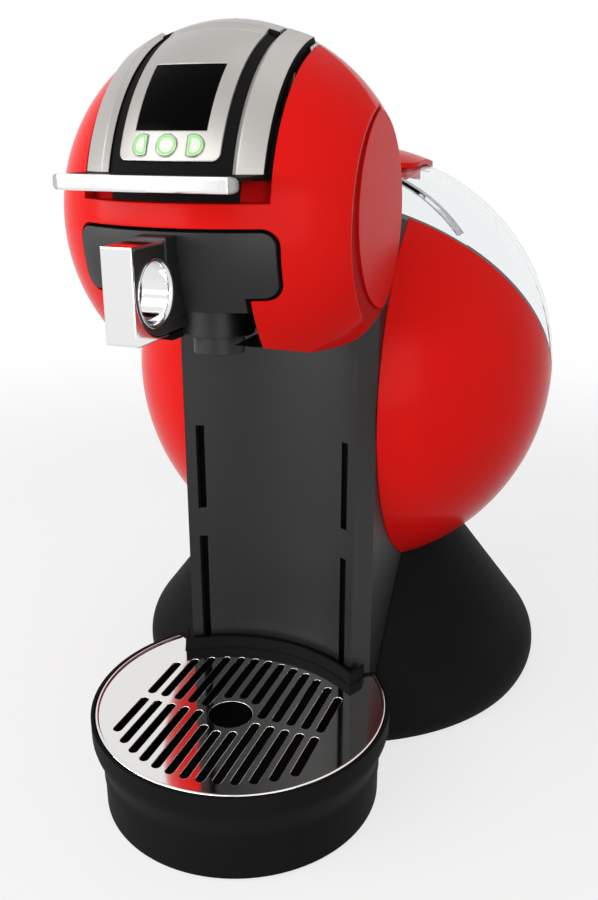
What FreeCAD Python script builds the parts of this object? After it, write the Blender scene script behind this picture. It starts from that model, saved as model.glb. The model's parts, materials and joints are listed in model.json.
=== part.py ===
import FreeCAD, Part
import math
import os
from FreeCAD import Vector

os.makedirs("parts", exist_ok=True)

# Rear ball, in millimetres, with its axis on the Z axis and the floor at zero
BALL_R = 112.0
BALL_Z = 173.3
SHELL_T = 2.6
SEAM_TILT = 52.8
SEAM_OFFSET = 6.1
DECK_T = 3.0
FLANGE_T = 1.2

# Base
FOOT_H = 2.0
FOOT_R = 9.0
PLATE_T = 3.0
BASE_EDGE_R = 118.0
BASE_EDGE_Z = 12.7
BASE_UNDERCUT = 5.7
BASE_ROUND = 18.3
BASE_TOP_Z = 82.3
SCREW_R = 3.5
GLAND_R = 5.5
GLAND_Z = 16.0
GLAND_OUT = 4.0

# Pouring axis, measured from the ball axis towards the front
DRIP_Y = -159.5

# Column
COLUMN_HALF = 48.0
COLUMN_FRONT_HALF = 42.0
COLUMN_FLARE = 59.0
COLUMN_ARC_C = -13.0
COLUMN_ARC_R = 73.0
COLUMN_BACK = 139.0
NECK_H = 4.0
RAIL_X = 36.0
RAIL_W = 3.4
RAIL_LOW_TOP = 106.0
RAIL_HIGH_BOTTOM = 121.0
RAIL_HIGH_TOP = 163.0

# Head, made of a front ball and a rear ball, with the front ball moved to trim the lower corners
HEAD_R = 72.0
HEAD_C = 29.6
HEAD_Z = 262.9
BACK_R = 69.2
BACK_C = 15.0
BACK_Z = 264.3
UNDER_SHIFT = 9.2
UNDER_RISE = 6.4
HEAD_HALF = 57.5
CHEEK_RIM = 1.0
CHEEK_BAND = 3.8
CHEEK_SHIFT = 4.1
CHEEK_DEPTH = 1.2
HEAD_BOTTOM_Z = 218.0
LIP_Y = -9.0
LIP_TILT = 14.6
FRAME_T = 2.5
UNDERSIDE_T = 3.0

# Window for the capsule holder
WINDOW_HALF = 38.5
WINDOW_LOW = 240.0
WINDOW_HIGH = 264.5
WINDOW_ROUND = 6.0
THROAT_HALF = 28.0
DRAWER_GAP = 1.1

# Strip on top of the head
CHANNEL_HALF = 35.4
CHANNEL_LOW = 272.5
CHANNEL_BACK = 62.0
RECESS_DEPTH = 5.5
PANEL_HALF = 19.0
PANEL_LOW = 285.5
PANEL_BACK = 8.0
PANEL_ROUND = 3.0
PANEL_DEPTH = 0.8
BEZEL_DEPTH = 1.3
LENS_DEPTH = 1.0
BEZEL_HALF = 23.0
BEZEL_LOW = 281.2
LENS_HALF = 13.4
LENS_LOW = 295.2
LENS_HIGH = 316.5
BUTTON_Z = 291.0
BUTTON_X = 9.6
BUTTON_R = 3.7
BUTTON_FLAT = 2.0
BUTTON_PROUD = 0.3

# Lock handle
ARM_IN = 23.3
ARM_OUT = 33.4
ARM_LOW = 277.2
ARM_PROUD = 1.2
ARM_BEVEL = 2.0
PIVOT_Z = 311.5
PIVOT_R = 2.0
HEEL_R = 21.0
HEEL_GAP = 1.5
PIN_OVER = 2.6
BAR_OUT = 12.3
BAR_T = 2.6
BAR_LOW = 276.8
BAR_HIGH = 282.0
BAR_BOW = 2.2

# Capsule holder
CUP_R = 26.0
BARREL_HALF = 26.6
BARREL_LOW = 235.8
DRAWER_BACK = 31.0
COLLAR_R = 14.0
COLLAR_LOW = 221.0
SPOUT_R = 10.0
SPOUT_LOW = 213.5
SPOUT_BORE = 3.0
GRIP_HALF = 5.5
GRIP_OUT = 29.1
GRIP_LOW = 230.0
GRIP_HIGH = 261.5
GRIP_PLATE_T = 1.0
GRIP_CORNER = 1.5
GRIP_WEB = 4.6
GRIP_ROOT = 12.0
NECK_OUT = 8.0
NECK_SIDE = 0.5
NECK_RISE = 0.9
RING_FRONT = 1.4
RING_UNDER = 2.9
RING_R = 10.0
RING_T = 1.4
RING_FLARE = 1.2
RING_PROUD = 0.4
RIB_FRONT = -20.0
RIB_SET_BACK = 4.0

# Injector
INJECTOR_R = 20.0
INJECTOR_T = 8.0
STEM_R = 5.0
STEM_TOP = 292.0
GUIDE_TOP = 288.0
LIFT = 10.0

# Drip tray
TRAY_C = 12.4
GRID_R = 66.7
GRID_TOP = 45.1
GRID_T = 1.6
RIM_R = 68.6
RIM_LOW = 36.0
RIM_FADE = 12.0
RIM_ROUND = 12.0
BOWL_R = 64.4
BOWL_LOW = 15.5
CARRIER_R = 64.0
CARRIER_LOW = 1.6
REAR_LIP_T = 1.7
REAR_LIP_H = 5.5
REAR_LIP_HALF = 47.0
TRAY_T = 2.3
TRAY_GAP = 2.0
SLOT_W = 4.0
SLOT_PITCH = 7.0
SLOT_COUNT = 13
SLOT_BRIDGE = 3.6
SLOT_EDGE = 5.0
DRIP_R = 10.0
DRIP_RING = 3.0
HOOK_HALF = 4.2
HOOK_T = 2.5

# Tank
TANK_T = 2.5
TANK_LIFT = 0.4
NOTCH_Y = 122.0
NOTCH_Z = 268.0
NOTCH_LEAN = 19.2
LID_HALF = 41.0
LID_FRONT = -31.0
LID_BACK = 35.0
LID_ROUND = 20.0
LID_T = 2.2
MOUTH_EDGE = 5.5
VALVE_IN = 41.8
VALVE_R = 9.0
VALVE_DEPTH = 5.0

# Water system
PUMP_R = 20.0
PUMP_HALF = 44.0
PUMP_Y = 14.0
PUMP_Z = 40.0
HEATER_R = 26.0
HEATER_Y = 100.0
HEATER_LOW = 122.0
HEATER_H = 66.0
HOSE_R = 3.0
HOSE_BORE = 1.8
METER_R = 13.0
METER_X = -46.0
METER_Y = 52.0
METER_H = 16.0
NECK_GAP = 6.0
BREW_DROP = 16.9

# Clearances
SEAT = 0.15
GAP = 0.35
RUN = 0.05

BIG = 600.0
FRONT_C = (0.0, DRIP_Y + HEAD_C, HEAD_Z)
REAR_C = (0.0, DRIP_Y + BACK_C, BACK_Z)
LOW_C = (0.0, FRONT_C[1] - UNDER_SHIFT, HEAD_Z + UNDER_RISE)
BALL_C = (0.0, 0.0, BALL_Z)
SEAM_N = (0.0, math.sin(math.radians(SEAM_TILT)), math.cos(math.radians(SEAM_TILT)))
SEAM_DOWN = (0.0, SEAM_N[2], -SEAM_N[1])
PLATE_TOP = FOOT_H + PLATE_T
HEAD_FRONT = HEAD_C - HEAD_R
HEAD_REAR = BACK_C + BACK_R
BAR_FRONT = HEAD_FRONT - BAR_OUT
GRIP_FRONT = HEAD_FRONT - GRIP_OUT
RING_Y = GRIP_FRONT + GRIP_PLATE_T + RING_FRONT + RING_R + RING_T
RING_Z = GRIP_LOW + GRIP_PLATE_T + RING_UNDER + RING_R + RING_T
NECK_R = math.sqrt(BALL_R ** 2 - (BALL_Z - BASE_TOP_Z) ** 2)
CONE_LEAN = math.atan2(BASE_EDGE_R - NECK_R, BASE_TOP_Z - BASE_EDGE_Z)
EDGE_LEAN = math.atan2(BASE_UNDERCUT, BASE_EDGE_Z - FOOT_H)
EDGE_SIDE = 0.97 * (BASE_EDGE_Z - FOOT_H) / math.cos(EDGE_LEAN)
EDGE_ROUND = min(BASE_ROUND, EDGE_SIDE / math.tan((CONE_LEAN + EDGE_LEAN) / 2))
EDGE_SPREAD = (math.sin(CONE_LEAN) + math.sin(EDGE_LEAN)) / math.sin(CONE_LEAN + EDGE_LEAN)
BASE_LOW_R = BASE_EDGE_R - BASE_UNDERCUT
BASE_R = BASE_EDGE_R - EDGE_ROUND * (EDGE_SPREAD - 1)
FRAME_Y = -(DRIP_Y + GRIP_FRONT + BASE_R + GLAND_OUT) / 2


def fy(value):
    """Turn a distance behind the pouring axis into a Y position."""
    return DRIP_Y + value


def box(x0, x1, y0, y1, z0, z1):
    """Make a block from its limits."""
    return Part.makeBox(x1 - x0, y1 - y0, z1 - z0, Vector(x0, y0, z0))


def cyl(r, start, axis, length):
    """Make a cylinder from its start, direction and length."""
    return Part.makeCylinder(r, length, Vector(*start), Vector(*axis))


def ring(r_out, r_in, start, axis, length):
    """Make a tube from its start, direction and length."""
    return cyl(r_out, start, axis, length).cut(cyl(r_in, start, axis, length))


def ball(centre, r):
    """Make a ball."""
    return Part.makeSphere(r, Vector(*centre))


def mirror(shape):
    """Copy a shape to the other side of the middle plane."""
    return shape.mirror(Vector(0, 0, 0), Vector(1, 0, 0))


def both(shape):
    """Return a shape and its mirror image as one."""
    return shape.fuse(mirror(shape))


def join(first, *others):
    """Fuse shapes and merge their shared faces."""
    return first.fuse(list(others)).removeSplitter()


def along(point, direction, distance):
    """Move a point along a direction."""
    return tuple(p + d * distance for p, d in zip(point, direction))


def below(point, normal):
    """Make the half space behind a plane."""
    block = Part.makeBox(2 * BIG, 2 * BIG, 2 * BIG, Vector(-BIG, -BIG, -2 * BIG))
    turn = FreeCAD.Rotation(Vector(0, 0, 1), Vector(*normal))
    block.Placement = FreeCAD.Placement(Vector(*point), turn)
    return block


def seam(offset):
    """Make the half space under the sloping tank seam, moved by an offset."""
    return below(along(BALL_C, SEAM_N, SEAM_OFFSET + offset), SEAM_N)


def rounded(x0, x1, y0, y1, z0, z1, radius, axis):
    """Make a block with its four edges along one axis rounded."""
    block = box(x0, x1, y0, y1, z0, z1)
    edges = []
    for edge in block.Edges:
        way = edge.Vertexes[1].Point.sub(edge.Vertexes[0].Point)
        if abs(way.normalize().dot(axis)) > 0.9:
            edges.append(edge)
    return block.makeFillet(radius, edges)


def path_of(points, bend):
    """Make a line path with rounded corners."""
    spots = [Vector(*p) for p in points]
    edges = []
    start = spots[0]
    for i in range(1, len(spots) - 1):
        into = (spots[i] - spots[i - 1]).normalize()
        out = (spots[i + 1] - spots[i]).normalize()
        a = spots[i] - into * bend
        b = spots[i] + out * bend
        half = math.acos(max(-1.0, min(1.0, into.dot(out)))) / 2
        middle = (out - into).normalize()
        radius = bend / math.tan(half)
        centre = spots[i] + middle * math.hypot(radius, bend)
        top = centre - middle * radius
        edges.append(Part.makeLine(start, a))
        edges.append(Part.Arc(a, top, b).toShape())
        start = b
    edges.append(Part.makeLine(start, spots[-1]))
    return Part.Wire(edges)


def hose(points, bend):
    """Sweep a hose along a path."""
    path = path_of(points, bend)
    start = Vector(*points[0])
    way = Vector(*points[1]) - start
    outer = Part.Wire(Part.makeCircle(HOSE_R, start, way))
    inner = Part.Wire(Part.makeCircle(HOSE_BORE, start, way))
    skin = path.makePipeShell([outer], True, False)
    core = path.makePipeShell([inner], True, False)
    return skin.cut(core)


def node(name, shape):
    """Write one piece to its own file, with the origin under the middle of the whole."""
    solids = shape.Solids
    result = solids[0] if len(solids) == 1 else Part.makeCompound(solids)
    result.translate(Vector(0, FRAME_Y, 0))
    result.exportStep("parts/" + name + ".step")
    print(name, len(solids), result.isValid(), round(result.Volume / 1000, 2), flush=True)


# Outlines shared by several pieces

def column_outline(grow, z0, z1, back):
    """Extrude the column's plan, grown by a distance."""
    radius = COLUMN_ARC_R - grow
    half = COLUMN_FRONT_HALF + 0.4 * grow
    side = COLUMN_HALF + grow
    flare = fy(COLUMN_FLARE) - 0.25 * grow
    corner = fy(COLUMN_ARC_C) + math.sqrt(radius ** 2 - half ** 2)
    middle = fy(COLUMN_ARC_C) + radius
    plan = [(-half, corner), (-side, flare), (-side, back), (side, back), (side, flare), (half, corner)]
    spots = [Vector(x, y, z0) for x, y in plan]
    edges = [Part.makeLine(a, b) for a, b in zip(spots, spots[1:])]
    edges.append(Part.Arc(spots[-1], Vector(0, middle, z0), spots[0]).toShape())
    return Part.Face(Part.Wire(edges)).extrude(Vector(0, 0, z1 - z0))


def head_body(grow):
    """Make the whole head form, grown by a distance."""
    half = HEAD_HALF + grow
    slab = box(-half, half, fy(-BIG), fy(BIG), HEAD_Z - BIG, HEAD_Z + BIG)
    form = ball(FRONT_C, HEAD_R + grow).common(ball(REAR_C, BACK_R + grow))
    return form.common(ball(LOW_C, HEAD_R + grow)).common(slab)


def cheek_groove():
    """Make the crescents sunk between the front of the head and its cheeks."""
    edge_r = math.sqrt(HEAD_R ** 2 - HEAD_HALF ** 2) - CHEEK_RIM
    start = HEAD_HALF - CHEEK_DEPTH
    edge = cyl(edge_r, (start, FRONT_C[1], HEAD_Z), (1, 0, 0), BIG)
    cheek_c = (start, FRONT_C[1] + CHEEK_SHIFT, HEAD_Z + CHEEK_SHIFT)
    return both(edge.cut(cyl(edge_r - CHEEK_BAND, cheek_c, (1, 0, 0), BIG)))


def head_skin(outer, inner):
    """Make a layer of the head form between two depths."""
    solid = ball(FRONT_C, HEAD_R - outer).common(ball(REAR_C, BACK_R - outer))
    return solid.cut(ball(FRONT_C, HEAD_R - inner).common(ball(REAR_C, BACK_R - inner)))


def strip_box(half, low, back):
    """Make the block that trims a piece of the top strip."""
    return box(-half, half, fy(-BIG), fy(back), low, HEAD_Z + BIG)


def head_lip():
    """Make the half space that trims the front of the head's lower edge."""
    tilt = math.radians(LIP_TILT)
    return below((0, fy(LIP_Y), HEAD_BOTTOM_Z), (0, math.sin(tilt), math.cos(tilt)))


def button_way(x):
    """Return the direction in which a button stands out of the panel."""
    rise = BUTTON_Z - HEAD_Z
    front = math.sqrt(HEAD_R ** 2 - x ** 2 - rise ** 2)
    return (x / HEAD_R, -front / HEAD_R, rise / HEAD_R)


def button_block(x, flat_side, grow, deep, high):
    """Make a button's form along its own direction."""
    way = button_way(x)
    solid = cyl(BUTTON_R + grow, along(FRONT_C, way, HEAD_R - deep), way, deep + high)
    if flat_side == 0:
        return solid
    edge = x + flat_side * (BUTTON_FLAT + grow)
    far = edge - flat_side * BIG
    return solid.common(box(min(edge, far), max(edge, far), -BIG, BIG, 0, BIG))


BUTTONS = [("button_left", -BUTTON_X, 1), ("button_ok", 0.0, 0), ("button_right", BUTTON_X, -1)]


# Base

def base_profile(inset):
    """Make the base skirt's solid form, moved inwards by an inset."""
    step_up = inset / math.cos(CONE_LEAN)
    step_low = inset / math.cos(EDGE_LEAN)
    rise = math.tan(CONE_LEAN)
    flare = math.tan(EDGE_LEAN)
    edge_z = BASE_EDGE_Z - (step_up - step_low) / (rise + flare)
    edge_r = BASE_EDGE_R - (edge_z - BASE_EDGE_Z) * rise - step_up
    cone = Part.makeCone(edge_r, NECK_R - step_up, BASE_TOP_Z - edge_z, Vector(0, 0, edge_z))
    foot = Part.makeCone(BASE_LOW_R - step_low, edge_r, edge_z - FOOT_H, Vector(0, 0, FOOT_H))
    form = join(cone, foot)
    corner = [edge for edge in form.Edges if edge.BoundBox.ZLength < 0.01]
    corner = [edge for edge in corner if abs(edge.BoundBox.ZMin - edge_z) < 0.01]
    return form.makeFillet(EDGE_ROUND - inset, corner)


gland_hole = cyl(GLAND_R, (0, 0, GLAND_Z), (0, 1, 0), BIG)
opening = box(-COLUMN_HALF - SEAT, COLUMN_HALF + SEAT, -BIG, 0, 0, BIG)
skirt = base_profile(0).cut(base_profile(SHELL_T)).cut(opening).cut(gland_hole)
node("base_skirt", skirt)

plate_r = BASE_LOW_R - SHELL_T / math.cos(EDGE_LEAN) - SEAT
plate = cyl(plate_r, (0, 0, FOOT_H), (0, 0, 1), PLATE_T)
tongue = column_outline(-SHELL_T - SEAT, FOOT_H, PLATE_TOP, 0)
side_cut = opening.cut(tongue)
plate = join(plate.cut(side_cut), tongue)
FEET = [(62.0, 64.0), (-62.0, 64.0), (33.0, -88.0), (-33.0, -88.0)]
SCREWS = [(84.0, 24.0), (-84.0, 24.0), (30.0, 92.0), (-30.0, 92.0)]
for x, y in SCREWS:
    plate = plate.cut(cyl(SCREW_R * 0.55, (x, y, 0), (0, 0, 1), PLATE_TOP))
BOARD_X = 34.0
BOARD_Y = (-84.0, -34.0)
BOARD_Z = 16.0
POST_R = 3.0
for x in (-BOARD_X, BOARD_X):
    for y in BOARD_Y:
        plate = plate.fuse(cyl(POST_R, (x, y, PLATE_TOP), (0, 0, 1), BOARD_Z - PLATE_TOP))
node("base_plate", plate.removeSplitter())

feet = [cyl(FOOT_R, (x, y, 0), (0, 0, 1), FOOT_H) for x, y in FEET]
node("rubber_feet", Part.makeCompound(feet))

screws = []
for x, y in SCREWS:
    head = cyl(SCREW_R, (x, y, FOOT_H - 1.4), (0, 0, 1), 1.4)
    head = head.cut(cyl(1.5, (x, y, FOOT_H - 1.4), (0, 0, 1), 0.8))
    screws.append(join(head, cyl(SCREW_R * 0.55, (x, y, FOOT_H), (0, 0, 1), 7.0)))
node("base_screws", Part.makeCompound(screws))

flange = cyl(GLAND_R + 2.5, (0, BASE_R - 6, GLAND_Z), (0, 1, 0), 6 + GLAND_OUT).cut(base_profile(0))
gland = join(cyl(GLAND_R, (0, BASE_R - 8, GLAND_Z), (0, 1, 0), 8 + GLAND_OUT), flange)
gland = gland.cut(cyl(GLAND_R - 2.2, (0, BASE_R - 10, GLAND_Z), (0, 1, 0), 20))
node("cord_gland", gland)


# Column

def column_form(inset, back):
    """Make the column with its neck, moved inwards by an inset."""
    low = box(-BIG, BIG, -BIG, BIG, 0, HEAD_BOTTOM_Z + NECK_H - inset)
    form = column_outline(-inset, FOOT_H - inset, HEAD_Z + BIG, back)
    return form.common(low.fuse(ball(BALL_C, BALL_R - inset)))


head_room = head_body(0).common(box(-BIG, BIG, -BIG, BIG, HEAD_BOTTOM_Z, BIG))
column = column_form(0, fy(COLUMN_BACK)).cut(column_form(SHELL_T, fy(COLUMN_BACK) + 10))
column = column.common(seam(-DECK_T)).cut(head_room)
rails = []
for z0, z1 in ((FOOT_H + 2.5, RAIL_LOW_TOP), (RAIL_HIGH_BOTTOM, RAIL_HIGH_TOP)):
    rails.append(box(RAIL_X - RAIL_W / 2, RAIL_X + RAIL_W / 2, fy(40), fy(62), z0, z1))
for rail in rails:
    column = column.cut(both(rail))
node("column_housing", column)

back_y = fy(COLUMN_ARC_C) + math.sqrt((COLUMN_ARC_R + SHELL_T) ** 2 - (RAIL_X - HOOK_HALF) ** 2)
rail_y = back_y + HOOK_T + 2 * GAP
rail_back = box(RAIL_X - 8, COLUMN_HALF, rail_y, rail_y + 1.6, PLATE_TOP + SEAT, RAIL_HIGH_TOP + 4)
rail_back = rail_back.common(column_outline(-SHELL_T - SEAT, 0, BIG, 0))
node("rail_backs", Part.makeCompound([rail_back, mirror(rail_back)]))


# Red side shells

shell = ball(BALL_C, BALL_R).cut(ball(BALL_C, BALL_R - SHELL_T))
shell = shell.common(seam(-FLANGE_T))
right = shell.common(box(COLUMN_HALF + SEAT, BIG, -BIG, BIG, BASE_TOP_Z + SEAT, BIG))
node("side_shell_right", right)
node("side_shell_left", mirror(right))

# Deck under the tank

valve_down = math.sqrt(BALL_R ** 2 - SEAM_OFFSET ** 2) - VALVE_IN
valve_c = along(along(BALL_C, SEAM_N, SEAM_OFFSET), SEAM_DOWN, valve_down)
slab = seam(0).cut(seam(-DECK_T))
lid_slab = seam(0).cut(seam(-FLANGE_T))
deck = slab.common(ball(BALL_C, BALL_R - SHELL_T - SEAT))
deck = deck.fuse(lid_slab.common(ball(BALL_C, BALL_R)))
neck = slab.common(ball(BALL_C, BALL_R)).common(box(-COLUMN_HALF, COLUMN_HALF, -BIG, 0, BALL_Z, BIG))
deck = deck.fuse(neck)
deck = deck.cut(cyl(VALVE_R + 1.0, along(valve_c, SEAM_N, -20), SEAM_N, 40))
deck = deck.common(box(-BIG, BIG, -BIG, BIG, BASE_TOP_Z + SEAT, BIG))
node("tank_deck", deck.cut(head_room).removeSplitter())

socket_top = along(valve_c, SEAM_N, -DECK_T)
socket = cyl(VALVE_R + 4.5, along(socket_top, SEAM_N, -12), SEAM_N, 12)
socket = socket.cut(cyl(VALVE_R + 1.0, along(socket_top, SEAM_N, -8), SEAM_N, 10))
socket = join(socket, cyl(HOSE_R + 1.0, along(socket_top, SEAM_N, -18), SEAM_N, 6))
socket = socket.cut(cyl(HOSE_BORE, along(socket_top, SEAM_N, -20), SEAM_N, 14))
node("outlet_socket", socket)
socket_seal = ring(VALVE_R + 1.0, HOSE_R + 1.5, along(socket_top, SEAM_N, -8), SEAM_N, 2.0)
node("socket_seal", socket_seal)


# Head shell

above = box(-BIG, BIG, -BIG, BIG, HEAD_BOTTOM_Z, BIG)
window = rounded(-WINDOW_HALF, WINDOW_HALF, fy(-90), fy(5), WINDOW_LOW, WINDOW_HIGH,
                 WINDOW_ROUND, Vector(0, 1, 0))
throat = box(-THROAT_HALF, THROAT_HALF, fy(-90), fy(5), HEAD_BOTTOM_Z - 5, WINDOW_LOW + WINDOW_ROUND)
channel = box(-CHANNEL_HALF, CHANNEL_HALF, fy(-90), fy(CHANNEL_BACK), CHANNEL_LOW, BIG)
head_hollow = head_body(-SHELL_T)
head = head_body(0).cut(head_hollow).common(above).cut(head_lip())
head = head.cut(window).cut(throat).cut(channel)
deep = RECESS_DEPTH
frame_low = BEZEL_LOW - 1.6
floor_box = box(-CHANNEL_HALF - 2, CHANNEL_HALF + 2, fy(-90), fy(0), CHANNEL_LOW - 2.2, BEZEL_LOW + 2)
floor = head_skin(deep, deep + 2.2).common(floor_box)
walls = head_skin(SHELL_T * 0.5, deep + 2.2).common(floor_box)
walls = walls.cut(box(-CHANNEL_HALF, CHANNEL_HALF, fy(-90), fy(0), CHANNEL_LOW, BIG))
walls = walls.common(box(-BIG, BIG, -BIG, BIG, 0, frame_low - SEAT))
head = join(head, floor, walls).cut(cheek_groove())
brew_z = HEAD_Z - BREW_DROP
head = head.cut(cyl(HOSE_R + 4, (0, fy(HEAD_REAR - 30), brew_z), (0, 1, 0), 60))
node("head_shell", head)

underside_top = HEAD_BOTTOM_Z + UNDERSIDE_T
underside = head_body(-SHELL_T).common(box(-BIG, BIG, -BIG, BIG, HEAD_BOTTOM_Z, underside_top))
nose = COLLAR_R + 1.6
underside = underside.cut(head_lip())
underside = underside.cut(box(-nose, nose, fy(-90), fy(0), 0, BIG))
underside = underside.cut(cyl(nose, (0, fy(0), 0), (0, 0, 1), BIG))
node("head_underside", underside)


# Head frame with pivot brackets

frame = head_skin(SHELL_T, SHELL_T + FRAME_T)
frame = frame.common(box(-46, 46, fy(-90), fy(CHANNEL_BACK + 4), frame_low, BIG))
inner_head = ball(FRONT_C, HEAD_R - SHELL_T).common(ball(REAR_C, BACK_R - SHELL_T))
brackets = []
for x0, x1 in ((BEZEL_HALF - 3.6, BEZEL_HALF - 0.6), (ARM_OUT + 0.8, ARM_OUT + PIN_OVER)):
    brackets.append(box(x0, x1, fy(-6), fy(6), PIVOT_Z - 6, BIG).common(inner_head))
for bracket in brackets:
    frame = frame.fuse(both(bracket))
heel_room = cyl(HEEL_R + HEEL_GAP, (ARM_IN - 0.8, fy(0), PIVOT_Z), (1, 0, 0), ARM_OUT - ARM_IN + 1.6)
frame = frame.cut(both(heel_room))
frame = frame.cut(cyl(PIVOT_R, (-60, fy(0), PIVOT_Z), (1, 0, 0), 120))
frame = frame.cut(box(-LENS_HALF + 2, LENS_HALF - 2, fy(-90), fy(0), LENS_LOW + 2, LENS_HIGH - 2))
for name, x, flat_side in BUTTONS:
    frame = frame.cut(button_block(x, flat_side, GAP, 12, 4))
node("head_frame", frame.removeSplitter())

# Panel, bezel, lens and strip

def panel_outline(grow, back):
    """Make the block that trims the panel, with its lower corners rounded."""
    half = PANEL_HALF + grow
    return rounded(-half, half, fy(-BIG), fy(back), PANEL_LOW - grow, HEAD_Z + BIG,
                   PANEL_ROUND + grow, Vector(0, 1, 0))


panel = head_skin(PANEL_DEPTH, SHELL_T).common(panel_outline(-SEAT, PANEL_BACK))
lens_hole = box(-LENS_HALF, LENS_HALF, fy(-90), fy(0), LENS_LOW, LENS_HIGH)
panel = panel.cut(lens_hole)
for name, x, flat_side in BUTTONS:
    panel = panel.cut(button_block(x, flat_side, GAP, 12, 4))
node("control_panel", panel)
bezel = head_skin(BEZEL_DEPTH, SHELL_T).common(strip_box(BEZEL_HALF, BEZEL_LOW, PANEL_BACK))
bezel = bezel.cut(panel_outline(SEAT, BIG))
node("panel_bezel", bezel)
lens = head_skin(LENS_DEPTH, SHELL_T).common(
    box(-LENS_HALF + SEAT, LENS_HALF - SEAT, fy(-90), fy(0), LENS_LOW + SEAT, LENS_HIGH - SEAT))
node("display_lens", lens)
under = SHELL_T + FRAME_T
module = head_skin(under, under + 4.0).common(
    box(-LENS_HALF - 1, LENS_HALF + 1, fy(-90), fy(-4), LENS_LOW + 2.0, LENS_HIGH + 1))
node("display_module", module)
strip_half = CHANNEL_HALF - SEAT
strip = head_skin(0, SHELL_T).common(
    box(-strip_half, strip_half, fy(PANEL_BACK + GAP), fy(CHANNEL_BACK - SEAT), CHANNEL_LOW, BIG))
node("rear_strip", strip.cut(both(heel_room)))

board_way = (0.0, -0.78, 0.626)
board_c = along(FRONT_C, board_way, HEAD_R - under - 4.0 - 6.0)
board = Part.makeBox(2 * LENS_HALF, 17.0, 1.6, Vector(-LENS_HALF, -8.5, -1.6))
for x in (-8.0, 8.0):
    board = board.fuse(Part.makeBox(6.0, 9.0, 5.0, Vector(x - 3.0, -4.5, 0)))
turn = FreeCAD.Rotation(Vector(0, 0, 1), Vector(*board_way))
board.Placement = FreeCAD.Placement(Vector(*board_c), turn)
node("control_board", board.cut(head_skin(under - 3, under + 4.0)))

for name, x, flat_side in BUTTONS:
    cap = button_block(x, flat_side, 0, under + 1.0, 4)
    node(name, cap.common(ball(FRONT_C, HEAD_R - PANEL_DEPTH + BUTTON_PROUD)))


# Lock handle

def arm_bevel():
    """Make the ball that bevels the inner edge of the right arm."""
    outer = HEAD_R + ARM_PROUD
    edge = ARM_IN + ARM_BEVEL
    low = math.sqrt(outer ** 2 - ARM_IN ** 2) - ARM_BEVEL
    across = (outer ** 2 - ARM_IN ** 2 - low ** 2) / (2 * ARM_BEVEL)
    radius = math.sqrt((edge - across) ** 2 + outer ** 2 - edge ** 2)
    return ball((across, FRONT_C[1], HEAD_Z), radius)


arm = head_skin(-ARM_PROUD, SHELL_T - GAP).common(arm_bevel())
reach = box(-BIG, BIG, fy(-90), fy(0), ARM_LOW, BIG)
heel = cyl(HEEL_R, (-BIG / 2, fy(0), PIVOT_Z), (1, 0, 0), BIG)
arm = arm.common(box(ARM_IN, ARM_OUT, fy(-90), fy(40), ARM_LOW, BIG)).common(reach.fuse(heel))
boss = cyl(4.6, (ARM_IN, fy(0), PIVOT_Z), (1, 0, 0), ARM_OUT - ARM_IN)
web = box(ARM_IN, ARM_OUT, fy(-4), fy(4), PIVOT_Z, BIG).common(ball(FRONT_C, HEAD_R - 1))
arm = arm.fuse([boss, web.common(heel)]).cut(cyl(PIVOT_R + RUN, (0, fy(0), PIVOT_Z), (1, 0, 0), BIG))
shelf_high = BAR_HIGH - GAP
shelf = box(-ARM_OUT, ARM_OUT, fy(BAR_FRONT + BAR_T), fy(HEAD_FRONT + 12), ARM_LOW, shelf_high)
shelf = shelf.cut(ball(FRONT_C, HEAD_R + GAP))
tie = box(ARM_IN, ARM_OUT, fy(HEAD_FRONT - 6), fy(HEAD_FRONT + 6), ARM_LOW, shelf_high)
tie = tie.cut(ball(FRONT_C, HEAD_R - SHELL_T + GAP))
arms = join(both(arm), shelf, both(tie))

bow_r = (ARM_OUT ** 2 + BAR_BOW ** 2) / (2 * BAR_BOW)
bow_y = fy(BAR_FRONT - BAR_BOW) + bow_r
front_form = cyl(bow_r, (0, bow_y, BAR_LOW), (0, 0, 1), BAR_HIGH - BAR_LOW)
bar = box(-ARM_OUT, ARM_OUT, fy(BAR_FRONT - BAR_BOW - 1), fy(BAR_FRONT + BAR_T), BAR_LOW, BAR_HIGH)
bar = bar.common(front_form)
node("handle_arms", arms)
node("handle_bar", bar)
pin_half = ARM_OUT + PIN_OVER
node("pivot_pin", cyl(PIVOT_R, (-pin_half, fy(0), PIVOT_Z), (1, 0, 0), 2 * pin_half))


# Capsule holder

drawer_half = WINDOW_HALF - DRAWER_GAP
drawer_low = WINDOW_LOW + DRAWER_GAP
drawer_high = WINDOW_HIGH - DRAWER_GAP
front_face = ball(FRONT_C, HEAD_R + 0.8)
drawer = rounded(-drawer_half, drawer_half, fy(-90), fy(DRAWER_BACK), drawer_low, drawer_high,
                 WINDOW_ROUND - DRAWER_GAP, Vector(0, 1, 0))
barrel_high = drawer_low + WINDOW_ROUND
barrel = box(-BARREL_HALF, BARREL_HALF, fy(-90), fy(0), BARREL_LOW, barrel_high)
barrel = barrel.fuse(cyl(BARREL_HALF, (0, fy(0), BARREL_LOW), (0, 0, 1), barrel_high - BARREL_LOW))
holder = drawer.fuse(barrel).common(front_face)
rib_z = (WINDOW_LOW + WINDOW_HIGH) / 2
groove = box(drawer_half - 2.2, BIG, fy(RIB_FRONT - RIB_SET_BACK), fy(60), rib_z - 1.8, rib_z + 1.8)
holder = holder.cut(both(groove))
cup = cyl(CUP_R, (0, fy(0), BARREL_LOW + 2.5), (0, 0, 1), BIG)
holder = holder.cut(cup)
holder = holder.cut(cyl(COLLAR_R, (0, fy(0), 0), (0, 0, 1), BIG))
node("holder_body", holder.removeSplitter())

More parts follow.
